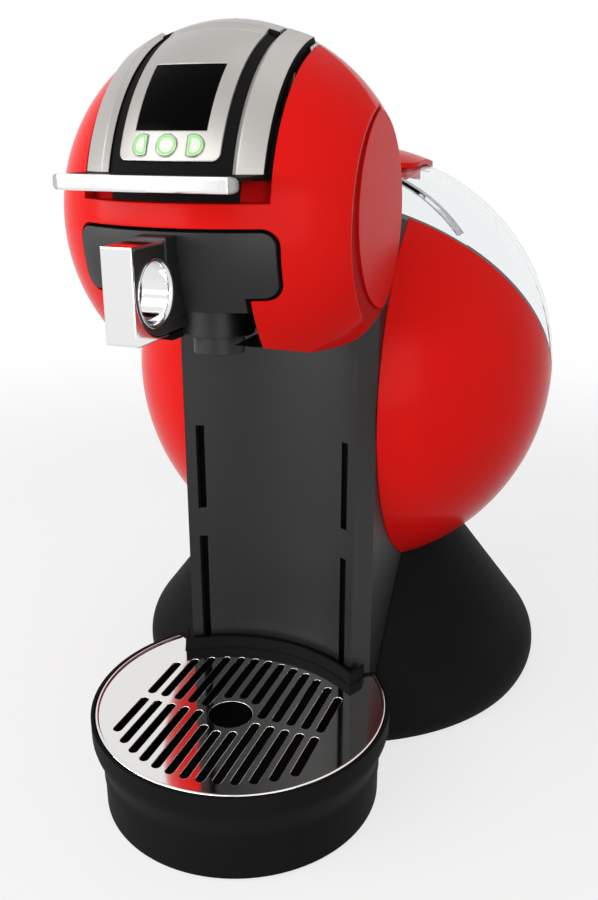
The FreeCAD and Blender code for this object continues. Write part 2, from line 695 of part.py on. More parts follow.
nozzle = cyl(COLLAR_R, (0, fy(0), COLLAR_LOW), (0, 0, 1), BARREL_LOW + 2.5 - COLLAR_LOW)
nozzle = join(nozzle, cyl(SPOUT_R, (0, fy(0), SPOUT_LOW), (0, 0, 1), COLLAR_LOW - SPOUT_LOW))
funnel_low = Vector(0, fy(0), BARREL_LOW - 6.5)
funnel = Part.makeCone(SPOUT_BORE, COLLAR_R - 2.0, 9.0, funnel_low, Vector(0, 0, 1))
nozzle = nozzle.cut(funnel).cut(cyl(SPOUT_BORE, (0, fy(0), 0), (0, 0, 1), BARREL_LOW - 5))
node("holder_nozzle", nozzle)


def low_corner(block, y, z, radius):
    """Round the lower front edge of a block."""
    edges = []
    for edge in block.Edges:
        centre = edge.CenterOfMass
        if abs(centre.y - y) < 0.01 and abs(centre.z - z) < 0.01:
            edges.append(edge)
    return block.makeFillet(radius, edges)


grip_front = fy(GRIP_FRONT + GRIP_PLATE_T)
grip_low = GRIP_LOW + GRIP_PLATE_T
neck_y = fy(HEAD_FRONT - NECK_OUT)
root_y = fy(HEAD_FRONT + GRIP_ROOT)
core = box(-GRIP_HALF, GRIP_HALF, grip_front, root_y, grip_low, GRIP_HIGH - GRIP_PLATE_T)
core = low_corner(core, grip_front, grip_low, RING_R + RING_T + GRIP_WEB)
cover = box(-GRIP_HALF, GRIP_HALF, fy(GRIP_FRONT), neck_y, GRIP_LOW, GRIP_HIGH)
cover = low_corner(cover, fy(GRIP_FRONT), GRIP_LOW, GRIP_CORNER)
node("grip_plate", cover.cut(core))
neck_half = GRIP_HALF + NECK_SIDE
neck = box(-neck_half, neck_half, neck_y, root_y, BARREL_LOW, GRIP_HIGH + NECK_RISE)
finger = cyl(RING_R + RING_T, (-BIG / 2, fy(RING_Y), RING_Z), (1, 0, 0), BIG)
node("holder_grip", join(core, neck).cut(front_face).cut(finger))
ring_half = GRIP_HALF + RING_PROUD
bush = ring(RING_R + RING_T, RING_R, (-ring_half, fy(RING_Y), RING_Z), (1, 0, 0), 2 * ring_half)
mouths = []
for edge in bush.Edges:
    if edge.BoundBox.XLength < 0.01 and edge.BoundBox.ZLength < 2 * RING_R + RING_T:
        mouths.append(edge)
node("finger_ring", bush.makeFillet(RING_FLARE, mouths))


# Guides in the head

side_in = WINDOW_HALF - 0.2
side_out = side_in + 3.0
room = head_body(-SHELL_T - SEAT)
wall_z = HEAD_BOTTOM_Z + UNDERSIDE_T
guide_back = DRAWER_BACK + 3.0
wall = box(side_in, side_out, fy(-30), fy(guide_back + 3), wall_z, drawer_high + 4)
post = box(side_in, side_out, fy(-10), fy(10), wall_z, GUIDE_TOP)
rib = box(drawer_half - 1.6, side_in, fy(RIB_FRONT), fy(guide_back), rib_z - 1.4, rib_z + 1.4)
back = box(-side_out, side_out, fy(guide_back), fy(guide_back + 3), wall_z, drawer_high + 4)
guide = join(both(wall), both(post), both(rib), back).common(room)
node("holder_guide", guide)

beam = box(-side_in, side_in, fy(-9), fy(9), GUIDE_TOP - 4, GUIDE_TOP)
sleeve_top = STEM_TOP + LIFT + 4.0
beam = join(beam, cyl(STEM_R + 3, (0, fy(0), GUIDE_TOP - 4), (0, 0, 1), sleeve_top - GUIDE_TOP + 4))
beam = beam.cut(cyl(STEM_R + RUN, (0, fy(0), 0), (0, 0, 1), sleeve_top - 2))
inlet = cyl(HOSE_R + 1.0, (0, fy(STEM_R + 2), sleeve_top - 5), (0, 1, 0), 6)
beam = join(beam, inlet).cut(cyl(HOSE_BORE, (0, fy(0), sleeve_top - 5), (0, 1, 0), 20))
node("injector_guide", beam)

injector_low = drawer_high + 0.6
injector = cyl(INJECTOR_R, (0, fy(0), injector_low), (0, 0, 1), INJECTOR_T)
injector = injector.cut(ring(INJECTOR_R - 4, INJECTOR_R - 8, (0, fy(0), injector_low), (0, 0, 1), 2.0))
injector = join(injector, cyl(STEM_R, (0, fy(0), injector_low), (0, 0, 1), STEM_TOP - injector_low))
injector = injector.cut(cyl(1.6, (0, fy(0), 0), (0, 0, 1), BIG))
injector = injector.cut(cyl(3.2, (0, fy(0), 0), (0, 0, 1), injector_low + 2.5))
node("injector_block", injector)
node("injector_seal", ring(INJECTOR_R - 4, INJECTOR_R - 8, (0, fy(0), injector_low), (0, 0, 1), 2.0))
needle = cyl(1.6, (0, fy(0), injector_low + 2.0), (0, 0, 1), 12)
tip = Part.makeCone(0.4, 1.6, 1.9, Vector(0, fy(0), injector_low + 0.1), Vector(0, 0, 1))
needle = join(needle, tip)
node("injector_needle", needle.cut(cyl(0.6, (0, fy(0), injector_low + 1.5), (0, 0, 1), 20)))


# Drip tray

tray_c = (0.0, fy(TRAY_C), 0.0)


def disc(r, z0, z1):
    """Make a disc about the tray's own axis."""
    return cyl(r, (tray_c[0], tray_c[1], z0), (0, 0, 1), z1 - z0)


def nest(grow):
    """Make the outline of the column and base with room for the tray."""
    half = COLUMN_HALF + SEAT - grow
    base = cyl(BASE_R + grow, (0, 0, -10), (0, 0, 1), BIG).cut(box(-half, half, -BIG, 0, -10, BIG))
    return column_outline(grow, -10, BIG, 0).fuse(base)


def slot(x, y0, y1):
    """Make one long hole with round ends."""
    r = SLOT_W / 2
    ends = [cyl(r, (x, y, 0), (0, 0, 1), BIG) for y in (y0 + r, y1 - r)]
    return box(x - r, x + r, y0 + r, y1 - r, 0, BIG).fuse(ends)


rim_top = GRID_TOP + 0.6
fade_low = RIM_LOW - RIM_FADE
fade = Part.makeCone(BOWL_R, RIM_R, RIM_FADE, Vector(tray_c[0], tray_c[1], fade_low))
bowl = join(disc(RIM_R, RIM_LOW, rim_top), fade, disc(BOWL_R, BOWL_LOW, fade_low))
bends = []
for edge in bowl.Edges:
    centre = edge.CenterOfMass
    if min(abs(centre.z - RIM_LOW), abs(centre.z - fade_low)) < 0.01:
        bends.append(edge)
bowl = bowl.makeFillet(RIM_ROUND, bends).cut(nest(TRAY_GAP))
well = disc(BOWL_R - TRAY_T, BOWL_LOW + TRAY_T, BIG).cut(nest(TRAY_GAP + TRAY_T))
pocket = disc(GRID_R + GAP, GRID_TOP - GRID_T - GAP, BIG).cut(nest(TRAY_GAP + REAR_LIP_T))
lip = disc(GRID_R, GRID_TOP - GRID_T, rim_top + REAR_LIP_H).common(nest(TRAY_GAP + REAR_LIP_T))
lip = lip.cut(nest(TRAY_GAP)).common(box(-REAR_LIP_HALF, REAR_LIP_HALF, -BIG, BIG, 0, BIG))
node("tray_bowl", join(bowl.cut(well).cut(pocket), lip))

grid = disc(GRID_R, GRID_TOP - GRID_T, GRID_TOP).cut(nest(TRAY_GAP + REAR_LIP_T + GAP))
hub = cyl(DRIP_R + DRIP_RING, (0, fy(0), 0), (0, 0, 1), BIG)
field = disc(GRID_R - SLOT_EDGE, 0, BIG).cut(nest(TRAY_GAP + SLOT_EDGE)).cut(hub)
slots = []
for i in range(SLOT_COUNT):
    x = (i - (SLOT_COUNT - 1) / 2) * SLOT_PITCH
    for y0, y1 in ((-BIG, -SLOT_BRIDGE / 2), (SLOT_BRIDGE / 2, BIG)):
        line = Part.makeLine(Vector(x, fy(y0), GRID_TOP), Vector(x, fy(y1), GRID_TOP))
        for edge in line.common(field).Edges:
            if edge.Length > SLOT_W:
                slots.append(slot(x, edge.BoundBox.YMin, edge.BoundBox.YMax))
grid = grid.cut(Part.makeCompound(slots))
node("drip_grid", grid.cut(cyl(DRIP_R, (0, fy(0), 0), (0, 0, 1), BIG)))

carrier_top = BOWL_LOW - GAP
carrier = disc(CARRIER_R, CARRIER_LOW, carrier_top).cut(nest(TRAY_GAP))
hollow = disc(CARRIER_R - TRAY_T, 0, carrier_top - TRAY_T).cut(nest(TRAY_GAP + TRAY_T))
carrier = carrier.cut(hollow)
hook_low = FOOT_H + 2.5 + 1.0
hook_high = carrier_top - 1.0
hook_w = RAIL_W - 2 * GAP
neck_front = fy(COLUMN_ARC_C) + math.sqrt((COLUMN_ARC_R - TRAY_GAP - TRAY_T) ** 2 - RAIL_X ** 2) - 2.0
hook = box(RAIL_X - hook_w / 2, RAIL_X + hook_w / 2, neck_front, back_y + 1.0, hook_low, hook_high)
hook_y = back_y + GAP
head_block = box(RAIL_X - HOOK_HALF, RAIL_X + HOOK_HALF, hook_y, hook_y + HOOK_T, hook_low, hook_high)
hook = hook.fuse(head_block)
node("tray_carrier", join(carrier, both(hook)))


# Water tank

def notch(offset):
    """Make the space in front of the tank's leaning front wall."""
    lean = math.radians(NOTCH_LEAN)
    normal = (0, math.cos(lean), -math.sin(lean))
    return below(along((0, fy(NOTCH_Y), NOTCH_Z), normal, offset), normal)


tank = ball(BALL_C, BALL_R).cut(seam(TANK_LIFT)).cut(notch(0))
tank_room = ball(BALL_C, BALL_R - TANK_T).cut(seam(TANK_LIFT + TANK_T)).cut(notch(TANK_T))
mouth_half = LID_HALF - MOUTH_EDGE
mouth = rounded(-mouth_half, mouth_half, LID_FRONT + MOUTH_EDGE, LID_BACK - MOUTH_EDGE, BALL_Z + 40, BIG,
                LID_ROUND - MOUTH_EDGE, Vector(0, 0, 1))
valve_bore = cyl(VALVE_R, along(valve_c, SEAM_N, -20), SEAM_N, 30)
tank_body = tank.cut(tank_room).cut(mouth).cut(valve_bore)
node("tank_body", tank_body)

lid_form = rounded(-LID_HALF, LID_HALF, LID_FRONT, LID_BACK, BALL_Z + 40, BIG,
                   LID_ROUND, Vector(0, 0, 1))
lid = lid_form.common(ball(BALL_C, BALL_R + LID_T + GAP).cut(ball(BALL_C, BALL_R + GAP)))
edge_in = MOUTH_EDGE + 0.6
skirt_form = rounded(-LID_HALF + edge_in, LID_HALF - edge_in, LID_FRONT + edge_in, LID_BACK - edge_in,
                     BALL_Z + 40, BIG, LID_ROUND - edge_in, Vector(0, 0, 1))
edge_in = edge_in + 2.0
skirt_core = rounded(-LID_HALF + edge_in, LID_HALF - edge_in, LID_FRONT + edge_in, LID_BACK - edge_in,
                     BALL_Z + 39, BIG, LID_ROUND - edge_in, Vector(0, 0, 1))
lid_skirt = skirt_form.cut(skirt_core).common(ball(BALL_C, BALL_R + GAP + 1))
lid_skirt = lid_skirt.cut(ball(BALL_C, BALL_R - 8))
node("tank_lid", join(lid, lid_skirt))

floor_low = along(valve_c, SEAM_N, TANK_LIFT)
valve = cyl(VALVE_R, along(floor_low, SEAM_N, -VALVE_DEPTH), SEAM_N, VALVE_DEPTH + TANK_T)
valve = join(valve, cyl(VALVE_R + 3, along(floor_low, SEAM_N, TANK_T), SEAM_N, 5))
valve = valve.cut(cyl(4.0, along(floor_low, SEAM_N, -20), SEAM_N, 40))
valve = valve.cut(cyl(6.5, along(floor_low, SEAM_N, 2), SEAM_N, 40))
groove_low = along(floor_low, SEAM_N, -VALVE_DEPTH + 1)
valve = valve.cut(ring(VALVE_R + 1, VALVE_R - 1.2, groove_low, SEAM_N, 2.0))
node("tank_valve", valve)
node("valve_seal", ring(VALVE_R + 0.6, VALVE_R - 1.2, groove_low, SEAM_N, 2.0))
poppet = cyl(6.3, along(floor_low, SEAM_N, 2), SEAM_N, 2.5)
poppet = join(poppet, cyl(3.4, along(floor_low, SEAM_N, -3), SEAM_N, 5))
node("valve_poppet", poppet)


# Water system

saddle = PUMP_R + 6
pump = cyl(PUMP_R, (-PUMP_HALF, PUMP_Y, PUMP_Z), (1, 0, 0), 2 * PUMP_HALF)
pump = pump.fuse(box(-16, 16, PUMP_Y - 24, PUMP_Y + 24, PUMP_Z - 22, PUMP_Z + 22))
for side in (-1, 1):
    pump = pump.fuse(cyl(HOSE_R + 1.0, (side * PUMP_HALF, PUMP_Y, PUMP_Z), (side, 0, 0), 9))
node("pump", pump.removeSplitter())
mounts = []
for x in (-32, 32):
    block = box(x - 6, x + 6, PUMP_Y - saddle, PUMP_Y + saddle, PLATE_TOP, PUMP_Z)
    mounts.append(block.cut(cyl(PUMP_R, (-60, PUMP_Y, PUMP_Z), (1, 0, 0), 120)))
node("pump_mounts", Part.makeCompound(mounts))

bracket_z = HEATER_LOW - 3.0
shelf_half = COLUMN_HALF - SHELL_T
heater_shelf = box(-shelf_half, shelf_half, fy(HEATER_Y - 30), fy(HEATER_Y + 30), bracket_z, HEATER_LOW)
heater_shelf = heater_shelf.cut(cyl(HOSE_R + 3, (0, fy(HEATER_Y), 0), (0, 0, 1), BIG))
node("heater_bracket", heater_shelf)
heater = cyl(HEATER_R, (0, fy(HEATER_Y), HEATER_LOW), (0, 0, 1), HEATER_H)
for i in range(5):
    z = HEATER_LOW + 8 + i * 11
    heater = heater.cut(ring(HEATER_R + 1, HEATER_R - 2.5, (0, fy(HEATER_Y), z), (0, 0, 1), 4))
pipe = cyl(HOSE_R + 1.0, (0, fy(HEATER_Y), HEATER_LOW - 8), (0, 0, 1), HEATER_H + 16)
node("heater", join(heater, pipe))
node("thermostat", cyl(7.0, (14, fy(HEATER_Y), HEATER_LOW + HEATER_H), (0, 0, 1), 6))

meter = cyl(METER_R, (METER_X, METER_Y, PLATE_TOP), (0, 0, 1), METER_H)
meter = join(meter, cyl(HOSE_R + 1.0, (METER_X, METER_Y, PLATE_TOP + METER_H), (0, 0, 1), 6))
node("flow_meter", meter)

main_board = box(-BOARD_X - 5, BOARD_X + 5, BOARD_Y[0] - 5, BOARD_Y[1] + 5, BOARD_Z, BOARD_Z + 1.6)
chips = [(-20, -70, 16, 20, 18), (14, -72, 22, 16, 12), (-16, -46, 24, 12, 8), (20, -46, 14, 14, 15)]
chip_z = BOARD_Z + 1.6
for x, y, w, d, h in chips:
    main_board = main_board.fuse(box(x - w / 2, x + w / 2, y - d / 2, y + d / 2, chip_z, chip_z + h))
node("main_board", main_board.removeSplitter())

socket_end = along(socket_top, SEAM_N, -18)
socket_lead = along(socket_end, SEAM_N, -14)
meter_top = (METER_X, METER_Y, PLATE_TOP + METER_H + 6)
meter_lead = along(meter_top, (0, 0, 1), 16)
pass_r = (NECK_R - 1.3 * SHELL_T - HOSE_R - NECK_GAP) / math.hypot(METER_X, METER_Y)
neck_pass = (METER_X * pass_r, METER_Y * pass_r, BASE_TOP_Z - 4)
node("suction_hose", hose([socket_end, socket_lead, neck_pass, meter_lead, meter_top], 6.0))
pump_end = (PUMP_HALF + 9, PUMP_Y, PUMP_Z)
riser = PUMP_HALF + 16
node("pressure_hose", hose(
    [pump_end, (riser, PUMP_Y, PUMP_Z), (riser, PUMP_Y, PUMP_Z + 18),
     (20, PUMP_Y - 14, HEATER_LOW - 30), (0, fy(HEATER_Y), HEATER_LOW - 24),
     (0, fy(HEATER_Y), HEATER_LOW - 8)], 5.0))
node("brew_hose", hose(
    [(0, fy(HEATER_Y), HEATER_LOW + HEATER_H + 8), (0, fy(HEATER_Y), HEAD_BOTTOM_Z + NECK_H),
     (0, fy(HEAD_REAR - 1), brew_z), (0, fy(HEAD_REAR - 21), brew_z),
     (0, fy(30), sleeve_top - 5), (0, fy(STEM_R + 8), sleeve_top - 5)], 6.0))
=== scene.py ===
# %% [markdown]
# # A pod coffee machine, dressed in Blender
#
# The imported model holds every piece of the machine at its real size. This lesson keeps
# those pieces where they are, gives each one the finish of its real material, and models
# the pieces whose edges and fine shapes the eye reads most: the slotted drip plate with its
# curled rim, the chrome bar and the thin shelf behind it, the lit marks on the buttons, the
# liners in the grooves and the recess of the head, and the frosted rib in the tank. The
# frame is in metres. New pieces are drawn in millimetres from the pouring axis and turned
# into the frame's metres as they are made.

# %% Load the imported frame
import json
import math

import bmesh
import bpy
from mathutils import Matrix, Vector


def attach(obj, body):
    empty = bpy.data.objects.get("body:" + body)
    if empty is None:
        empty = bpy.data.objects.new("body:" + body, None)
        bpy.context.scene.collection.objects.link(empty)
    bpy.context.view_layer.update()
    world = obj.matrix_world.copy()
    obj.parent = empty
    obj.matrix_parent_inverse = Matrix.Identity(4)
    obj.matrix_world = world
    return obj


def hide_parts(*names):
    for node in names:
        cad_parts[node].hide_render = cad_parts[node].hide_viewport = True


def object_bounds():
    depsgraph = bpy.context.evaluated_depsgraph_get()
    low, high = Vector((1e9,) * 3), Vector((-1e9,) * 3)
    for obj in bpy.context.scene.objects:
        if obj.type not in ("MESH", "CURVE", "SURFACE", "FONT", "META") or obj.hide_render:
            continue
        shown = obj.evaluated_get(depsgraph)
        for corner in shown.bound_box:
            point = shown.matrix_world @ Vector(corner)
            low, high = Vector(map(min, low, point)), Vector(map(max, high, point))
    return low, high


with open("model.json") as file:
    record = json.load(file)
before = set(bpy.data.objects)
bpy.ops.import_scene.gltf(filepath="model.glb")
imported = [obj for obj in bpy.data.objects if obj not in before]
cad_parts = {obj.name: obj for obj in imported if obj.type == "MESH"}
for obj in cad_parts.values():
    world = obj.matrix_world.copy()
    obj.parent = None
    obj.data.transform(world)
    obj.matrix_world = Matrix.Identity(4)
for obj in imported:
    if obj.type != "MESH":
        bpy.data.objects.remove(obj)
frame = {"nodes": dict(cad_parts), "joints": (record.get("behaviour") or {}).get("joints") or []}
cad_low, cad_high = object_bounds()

MM = 0.001
joints = {joint["name"]: joint for joint in frame["joints"]}
pour_y = joints["handle_lift"]["pos_m"][1]
print("nodes", len(frame["nodes"]), "pouring axis at y", pour_y)

# %% [markdown]
# ## Colours and nodes
#
# Colours are written as sRGB hex, the way a paint swatch is read off a screen, and the
# shader wants them linear. One function does that turn. A second one adds a shader node,
# gives it its settings and colour stops, and fills or links its sockets, so that each
# material below reads as a short recipe.

# %% Colour and node helpers


def linear(code, alpha=1.0):
    """Turn an sRGB hex code into linear RGBA."""
    parts = [int(code[i:i + 2], 16) / 255 for i in (1, 3, 5)]
    flat = [v / 12.92 if v <= 0.04045 else ((v + 0.055) / 1.055) ** 2.4 for v in parts]
    return (*flat, alpha)


def add_node(tree, kind, inputs=None, stops=(), **settings):
    """Add one node, set its properties and colour stops, and fill or link its inputs."""
    made = tree.nodes.new(kind)
    for name, value in settings.items():
        setattr(made, name, value)
    for i, (position, code) in enumerate(stops):
        made.color_ramp.elements[i].position = position
        made.color_ramp.elements[i].color = linear(code)
    for name, value in (inputs or {}).items():
        if isinstance(value, bpy.types.NodeSocket):
            tree.links.new(value, made.inputs[name])
        else:
            made.inputs[name].default_value = value
    return made


def start_material(name):
    """Make an empty node material and return it with its tree and object coordinates."""
    material = bpy.data.materials.new(name)
    material.use_nodes = True
    tree = material.node_tree
    tree.nodes.clear()
    place = add_node(tree, "ShaderNodeTexCoord").outputs["Object"]
    return material, tree, place


print("helpers ready, mid grey is", round(linear("#808080")[0], 3))

# %% [markdown]
# ## Red housing: polished ABS
#
# The head, the two side shells and the tank lid are moulded ABS from a polished tool. The
# eye sees a deep red with a clear gloss, a very faint orange peel where the plastic shrank
# in the mould, and corners that catch a thin line of light. The corner comes from a bevel
# in the shader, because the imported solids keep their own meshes. The room here is white on
# every side, so the mirror part of the gloss is set low, or it would turn the red pink.

# %% Polished red ABS
PEEL = 7 * MM
DRIFT = 60 * MM
EDGE = 0.7 * MM
EDGE_SAMPLES = 6

red_gloss, tree, place = start_material("ABS_polished_red")
drift = add_node(tree, "ShaderNodeTexNoise", {
    "Vector": place, "Scale": 1 / DRIFT, "Detail": 2.0})
tone = add_node(tree, "ShaderNodeValToRGB", {"Fac": drift.outputs["Fac"]},
                stops=[(0.3, "#D71713"), (0.7, "#DC1A16")])
peel = add_node(tree, "ShaderNodeTexNoise", {
    "Vector": place, "Scale": 1 / PEEL, "Detail": 1.0})
corner = add_node(tree, "ShaderNodeBevel", {"Radius": EDGE}, samples=EDGE_SAMPLES)
bump = add_node(tree, "ShaderNodeBump", {
    "Strength": 0.015, "Distance": 0.2 * MM, "Height": peel.outputs["Fac"],
    "Normal": corner.outputs["Normal"]})
gloss = add_node(tree, "ShaderNodeMapRange", {
    "Value": peel.outputs["Fac"], "To Min": 0.17, "To Max": 0.25})
shader = add_node(tree, "ShaderNodeBsdfPrincipled", {
    "Base Color": tone.outputs["Color"], "Roughness": gloss.outputs["Result"],
    "IOR": 1.52, "Specular IOR Level": 0.03, "Normal": bump.outputs["Normal"]})
add_node(tree, "ShaderNodeOutputMaterial", {"Surface": shader.outputs[0]})
print("made", red_gloss.name)

# %% [markdown]
# ## Black housing: spark-eroded ABS
#
# The black pieces come from tools with a fine spark-eroded grain, which breaks the
# reflection of the room into a soft satin grey. The column and the capsule holder have the
# finer grain and catch more light. The base and the tray are duller, so the black there
# stays deep. The real grain is about a tenth of a millimetre; it is drawn at half a
# millimetre here, as coarse as it needs to be to show.

# %% Satin and dull black ABS
GRIT = 0.5 * MM


def eroded_black(name, dark, light, smooth, rough, mirror):
    """Make black ABS with a spark-eroded grain of a given smoothness."""
    material, tree, place = start_material(name)
    grit = add_node(tree, "ShaderNodeTexNoise", {
        "Vector": place, "Scale": 1 / GRIT, "Detail": 3.0})
    cloud = add_node(tree, "ShaderNodeTexNoise", {
        "Vector": place, "Scale": 1 / DRIFT, "Detail": 3.0})
    tone = add_node(tree, "ShaderNodeValToRGB", {"Fac": cloud.outputs["Fac"]},
                    stops=[(0.3, dark), (0.7, light)])
    corner = add_node(tree, "ShaderNodeBevel", {"Radius": EDGE}, samples=EDGE_SAMPLES)
    bump = add_node(tree, "ShaderNodeBump", {
        "Strength": 0.12, "Distance": 0.05 * MM, "Height": grit.outputs["Fac"],
        "Normal": corner.outputs["Normal"]})
    satin = add_node(tree, "ShaderNodeMapRange", {
        "Value": grit.outputs["Fac"], "To Min": smooth, "To Max": rough})
    shader = add_node(tree, "ShaderNodeBsdfPrincipled", {
        "Base Color": tone.outputs["Color"], "Roughness": satin.outputs["Result"],
        "IOR": 1.5, "Specular IOR Level": mirror, "Normal": bump.outputs["Normal"]})
    add_node(tree, "ShaderNodeOutputMaterial", {"Surface": shader.outputs[0]})
    return material


black_satin = eroded_black("ABS_spark_eroded_black", "#0A0A0A", "#0F0F0F", 0.40, 0.50, 0.36)
black_dull = eroded_black(
    "ABS_spark_eroded_black_dull", "#101010", "#151515", 0.58, 0.68, 0.04)
print("made", black_satin.name, black_dull.name)

# %% [markdown]
# ## Silver strip: metallic paint
#
# The panel and the strip behind it are ABS, painted with a fine aluminium flake. The flake
# gives a grey that is lighter where it faces the light, and a faint sparkle. Real flakes
# are a few hundredths of a millimetre; they are drawn at a quarter of a millimetre, as
# coarse as they need to be to show.

# %% Silver paint
FLAKE = 0.25 * MM

silver_satin, tree, place = start_material("ABS_silver_flake_paint")
flake = add_node(tree, "ShaderNodeTexVoronoi", {"Vector": place, "Scale": 1 / FLAKE})
tone = add_node(tree, "ShaderNodeValToRGB", {"Fac": flake.outputs["Distance"]},
                stops=[(0.0, "#A5A29E"), (1.0, "#B4B1AD")])
corner = add_node(tree, "ShaderNodeBevel", {"Radius": EDGE}, samples=EDGE_SAMPLES)
bump = add_node(tree, "ShaderNodeBump", {
    "Strength": 0.06, "Distance": 0.03 * MM, "Height": flake.outputs["Distance"],
    "Normal": corner.outputs["Normal"]})
rough = add_node(tree, "ShaderNodeMapRange", {
    "Value": flake.outputs["Distance"], "To Min": 0.30, "To Max": 0.40})
shader = add_node(tree, "ShaderNodeBsdfPrincipled", {
    "Base Color": tone.outputs["Color"], "Roughness": rough.outputs["Result"],
    "Metallic": 0.8, "Normal": bump.outputs["Normal"]})
add_node(tree, "ShaderNodeOutputMaterial", {"Surface": shader.outputs[0]})
print("made", silver_satin.name)

# %% [markdown]
# The handle is one black moulding, painted where it shows: the outer faces of its two arms.
# The flanks of the arms and the shelf that carries the bar stay bare black. Two materials
# would need the mesh split along the paint line, so one material finds that line by itself:
# height in the piece's own coordinates tells the shelf, and the sideways part of the
# surface direction tells the flanks. The handle turns about a sideways axis, so neither
# slides as it lifts.

# %% Where the handle is painted
PAINT_LINE = 281.75 * MM
FLANK = 0.92

handle_paint, tree, place = start_material("ABS_silver_flake_on_black")
height = add_node(tree, "ShaderNodeSeparateXYZ", {"Vector": place})
above = add_node(tree, "ShaderNodeMath", {
    0: height.outputs["Z"], 1: PAINT_LINE}, operation="GREATER_THAN")
facing = add_node(tree, "ShaderNodeNewGeometry")
split = add_node(tree, "ShaderNodeSeparateXYZ", {"Vector": facing.outputs["True Normal"]})
sideways = add_node(tree, "ShaderNodeMath", {0: split.outputs["X"]}, operation="ABSOLUTE")
outer = add_node(tree, "ShaderNodeMath", {
    0: sideways.outputs[0], 1: FLANK}, operation="LESS_THAN")
painted = add_node(tree, "ShaderNodeMath", {
    0: above.outputs[0], 1: outer.outputs[0]}, operation="MINIMUM").outputs[0]
print("paint starts at height", round(PAINT_LINE / MM, 2), "mm")

# %% Handle paint
MIX_FIRST, MIX_SECOND, MIX_RESULT = 6, 7, 2  # colour sockets of the mix node

flake = add_node(tree, "ShaderNodeTexVoronoi", {"Vector": place, "Scale": 1 / FLAKE})
silver = add_node(tree, "ShaderNodeValToRGB", {"Fac": flake.outputs["Distance"]},
                  stops=[(0.0, "#A8A5A1"), (1.0, "#B8B5B1")])
colour = add_node(tree, "ShaderNodeMix", {
    0: painted, MIX_FIRST: linear("#0C0C0C"), MIX_SECOND: silver.outputs["Color"]},
    data_type="RGBA")
metal = add_node(tree, "ShaderNodeMapRange", {"Value": painted, "To Max": 0.8})
rough = add_node(tree, "ShaderNodeMapRange", {
    "Value": painted, "To Min": 0.6, "To Max": 0.35})
corner = add_node(tree, "ShaderNodeBevel", {"Radius": EDGE}, samples=EDGE_SAMPLES)
shader = add_node(tree, "ShaderNodeBsdfPrincipled", {
    "Base Color": colour.outputs[MIX_RESULT], "Metallic": metal.outputs["Result"],
    "Roughness": rough.outputs["Result"], "Specular IOR Level": 0.05,
    "Normal": corner.outputs["Normal"]})
add_node(tree, "ShaderNodeOutputMaterial", {"Surface": shader.outputs[0]})
print("made", handle_paint.name)

# %% [markdown]
# ## Bright metal
#
# The bar, the grip plate and the finger ring are chrome over plastic: a clean mirror with a
# faint waviness. The drip plate is pressed stainless steel, polished, with fine lines left
# by the polishing belt. The lines are a noise pattern drawn out in one direction, and
# coarser than the real ones so that they show.

# %% Chrome
WAVE = 12 * MM

chrome, tree, place = start_material("chrome_plated_ABS")
wave = add_node(tree, "ShaderNodeTexNoise", {
    "Vector": place, "Scale": 1 / WAVE, "Detail": 1.0})
corner = add_node(tree, "ShaderNodeBevel", {"Radius": EDGE}, samples=EDGE_SAMPLES)
bump = add_node(tree, "ShaderNodeBump", {
    "Strength": 0.03, "Distance": 0.2 * MM, "Height": wave.outputs["Fac"],
    "Normal": corner.outputs["Normal"]})
rough = add_node(tree, "ShaderNodeMapRange", {
    "Value": wave.outputs["Fac"], "To Min": 0.05, "To Max": 0.09})
shader = add_node(tree, "ShaderNodeBsdfPrincipled", {
    "Base Color": linear("#EAEAEA"), "Metallic": 1.0, "Roughness": rough.outputs["Result"],
    "Normal": bump.outputs["Normal"]})
add_node(tree, "ShaderNodeOutputMaterial", {"Surface": shader.outputs[0]})
print("made", chrome.name)

# %% Polished steel
BELT = 0.4 * MM
BELT_STRETCH = 0.04

polished_steel, tree, place = start_material("stainless_steel_belt_polished")
long_lines = add_node(tree, "ShaderNodeMapping", {
    "Vector": place, "Scale": (1.0, BELT_STRETCH, 1.0)})
belt = add_node(tree, "ShaderNodeTexNoise", {
    "Vector": long_lines.outputs["Vector"], "Scale": 1 / BELT, "Detail": 2.0})
rough = add_node(tree, "ShaderNodeMapRange", {
    "Value": belt.outputs["Fac"], "To Min": 0.04, "To Max": 0.10})
shader = add_node(tree, "ShaderNodeBsdfPrincipled", {
    "Base Color": linear("#E4E2E0"), "Metallic": 1.0, "Roughness": rough.outputs["Result"]})
add_node(tree, "ShaderNodeOutputMaterial", {"Surface": shader.outputs[0]})
print("made", polished_steel.name)

# %% [markdown]
# ## Clear tank and dark display
#
# The water tank is clear SAN with a wall of a few millimetres. Solid SAN bends light
# strongly, but seen through a thin wall the far side hardly shifts, so the bending is set
# well below the value in the tables and the edges stay grey instead of black. The display
# is a black acrylic window.

# %% Clear SAN and black acrylic
clear_plastic, tree, place = start_material("SAN_clear_moulded")
flow = add_node(tree, "ShaderNodeTexNoise", {
    "Vector": place, "Scale": 1 / DRIFT, "Detail": 1.0})
rough = add_node(tree, "ShaderNodeMapRange", {
    "Value": flow.outputs["Fac"], "To Min": 0.01, "To Max": 0.03})
shader = add_node(tree, "ShaderNodeBsdfPrincipled", {
    "Base Color": linear("#F6F8F8"), "Roughness": rough.outputs["Result"],
    "IOR": 1.16, "Transmission Weight": 1.0})
add_node(tree, "ShaderNodeOutputMaterial", {"Surface": shader.outputs[0]})

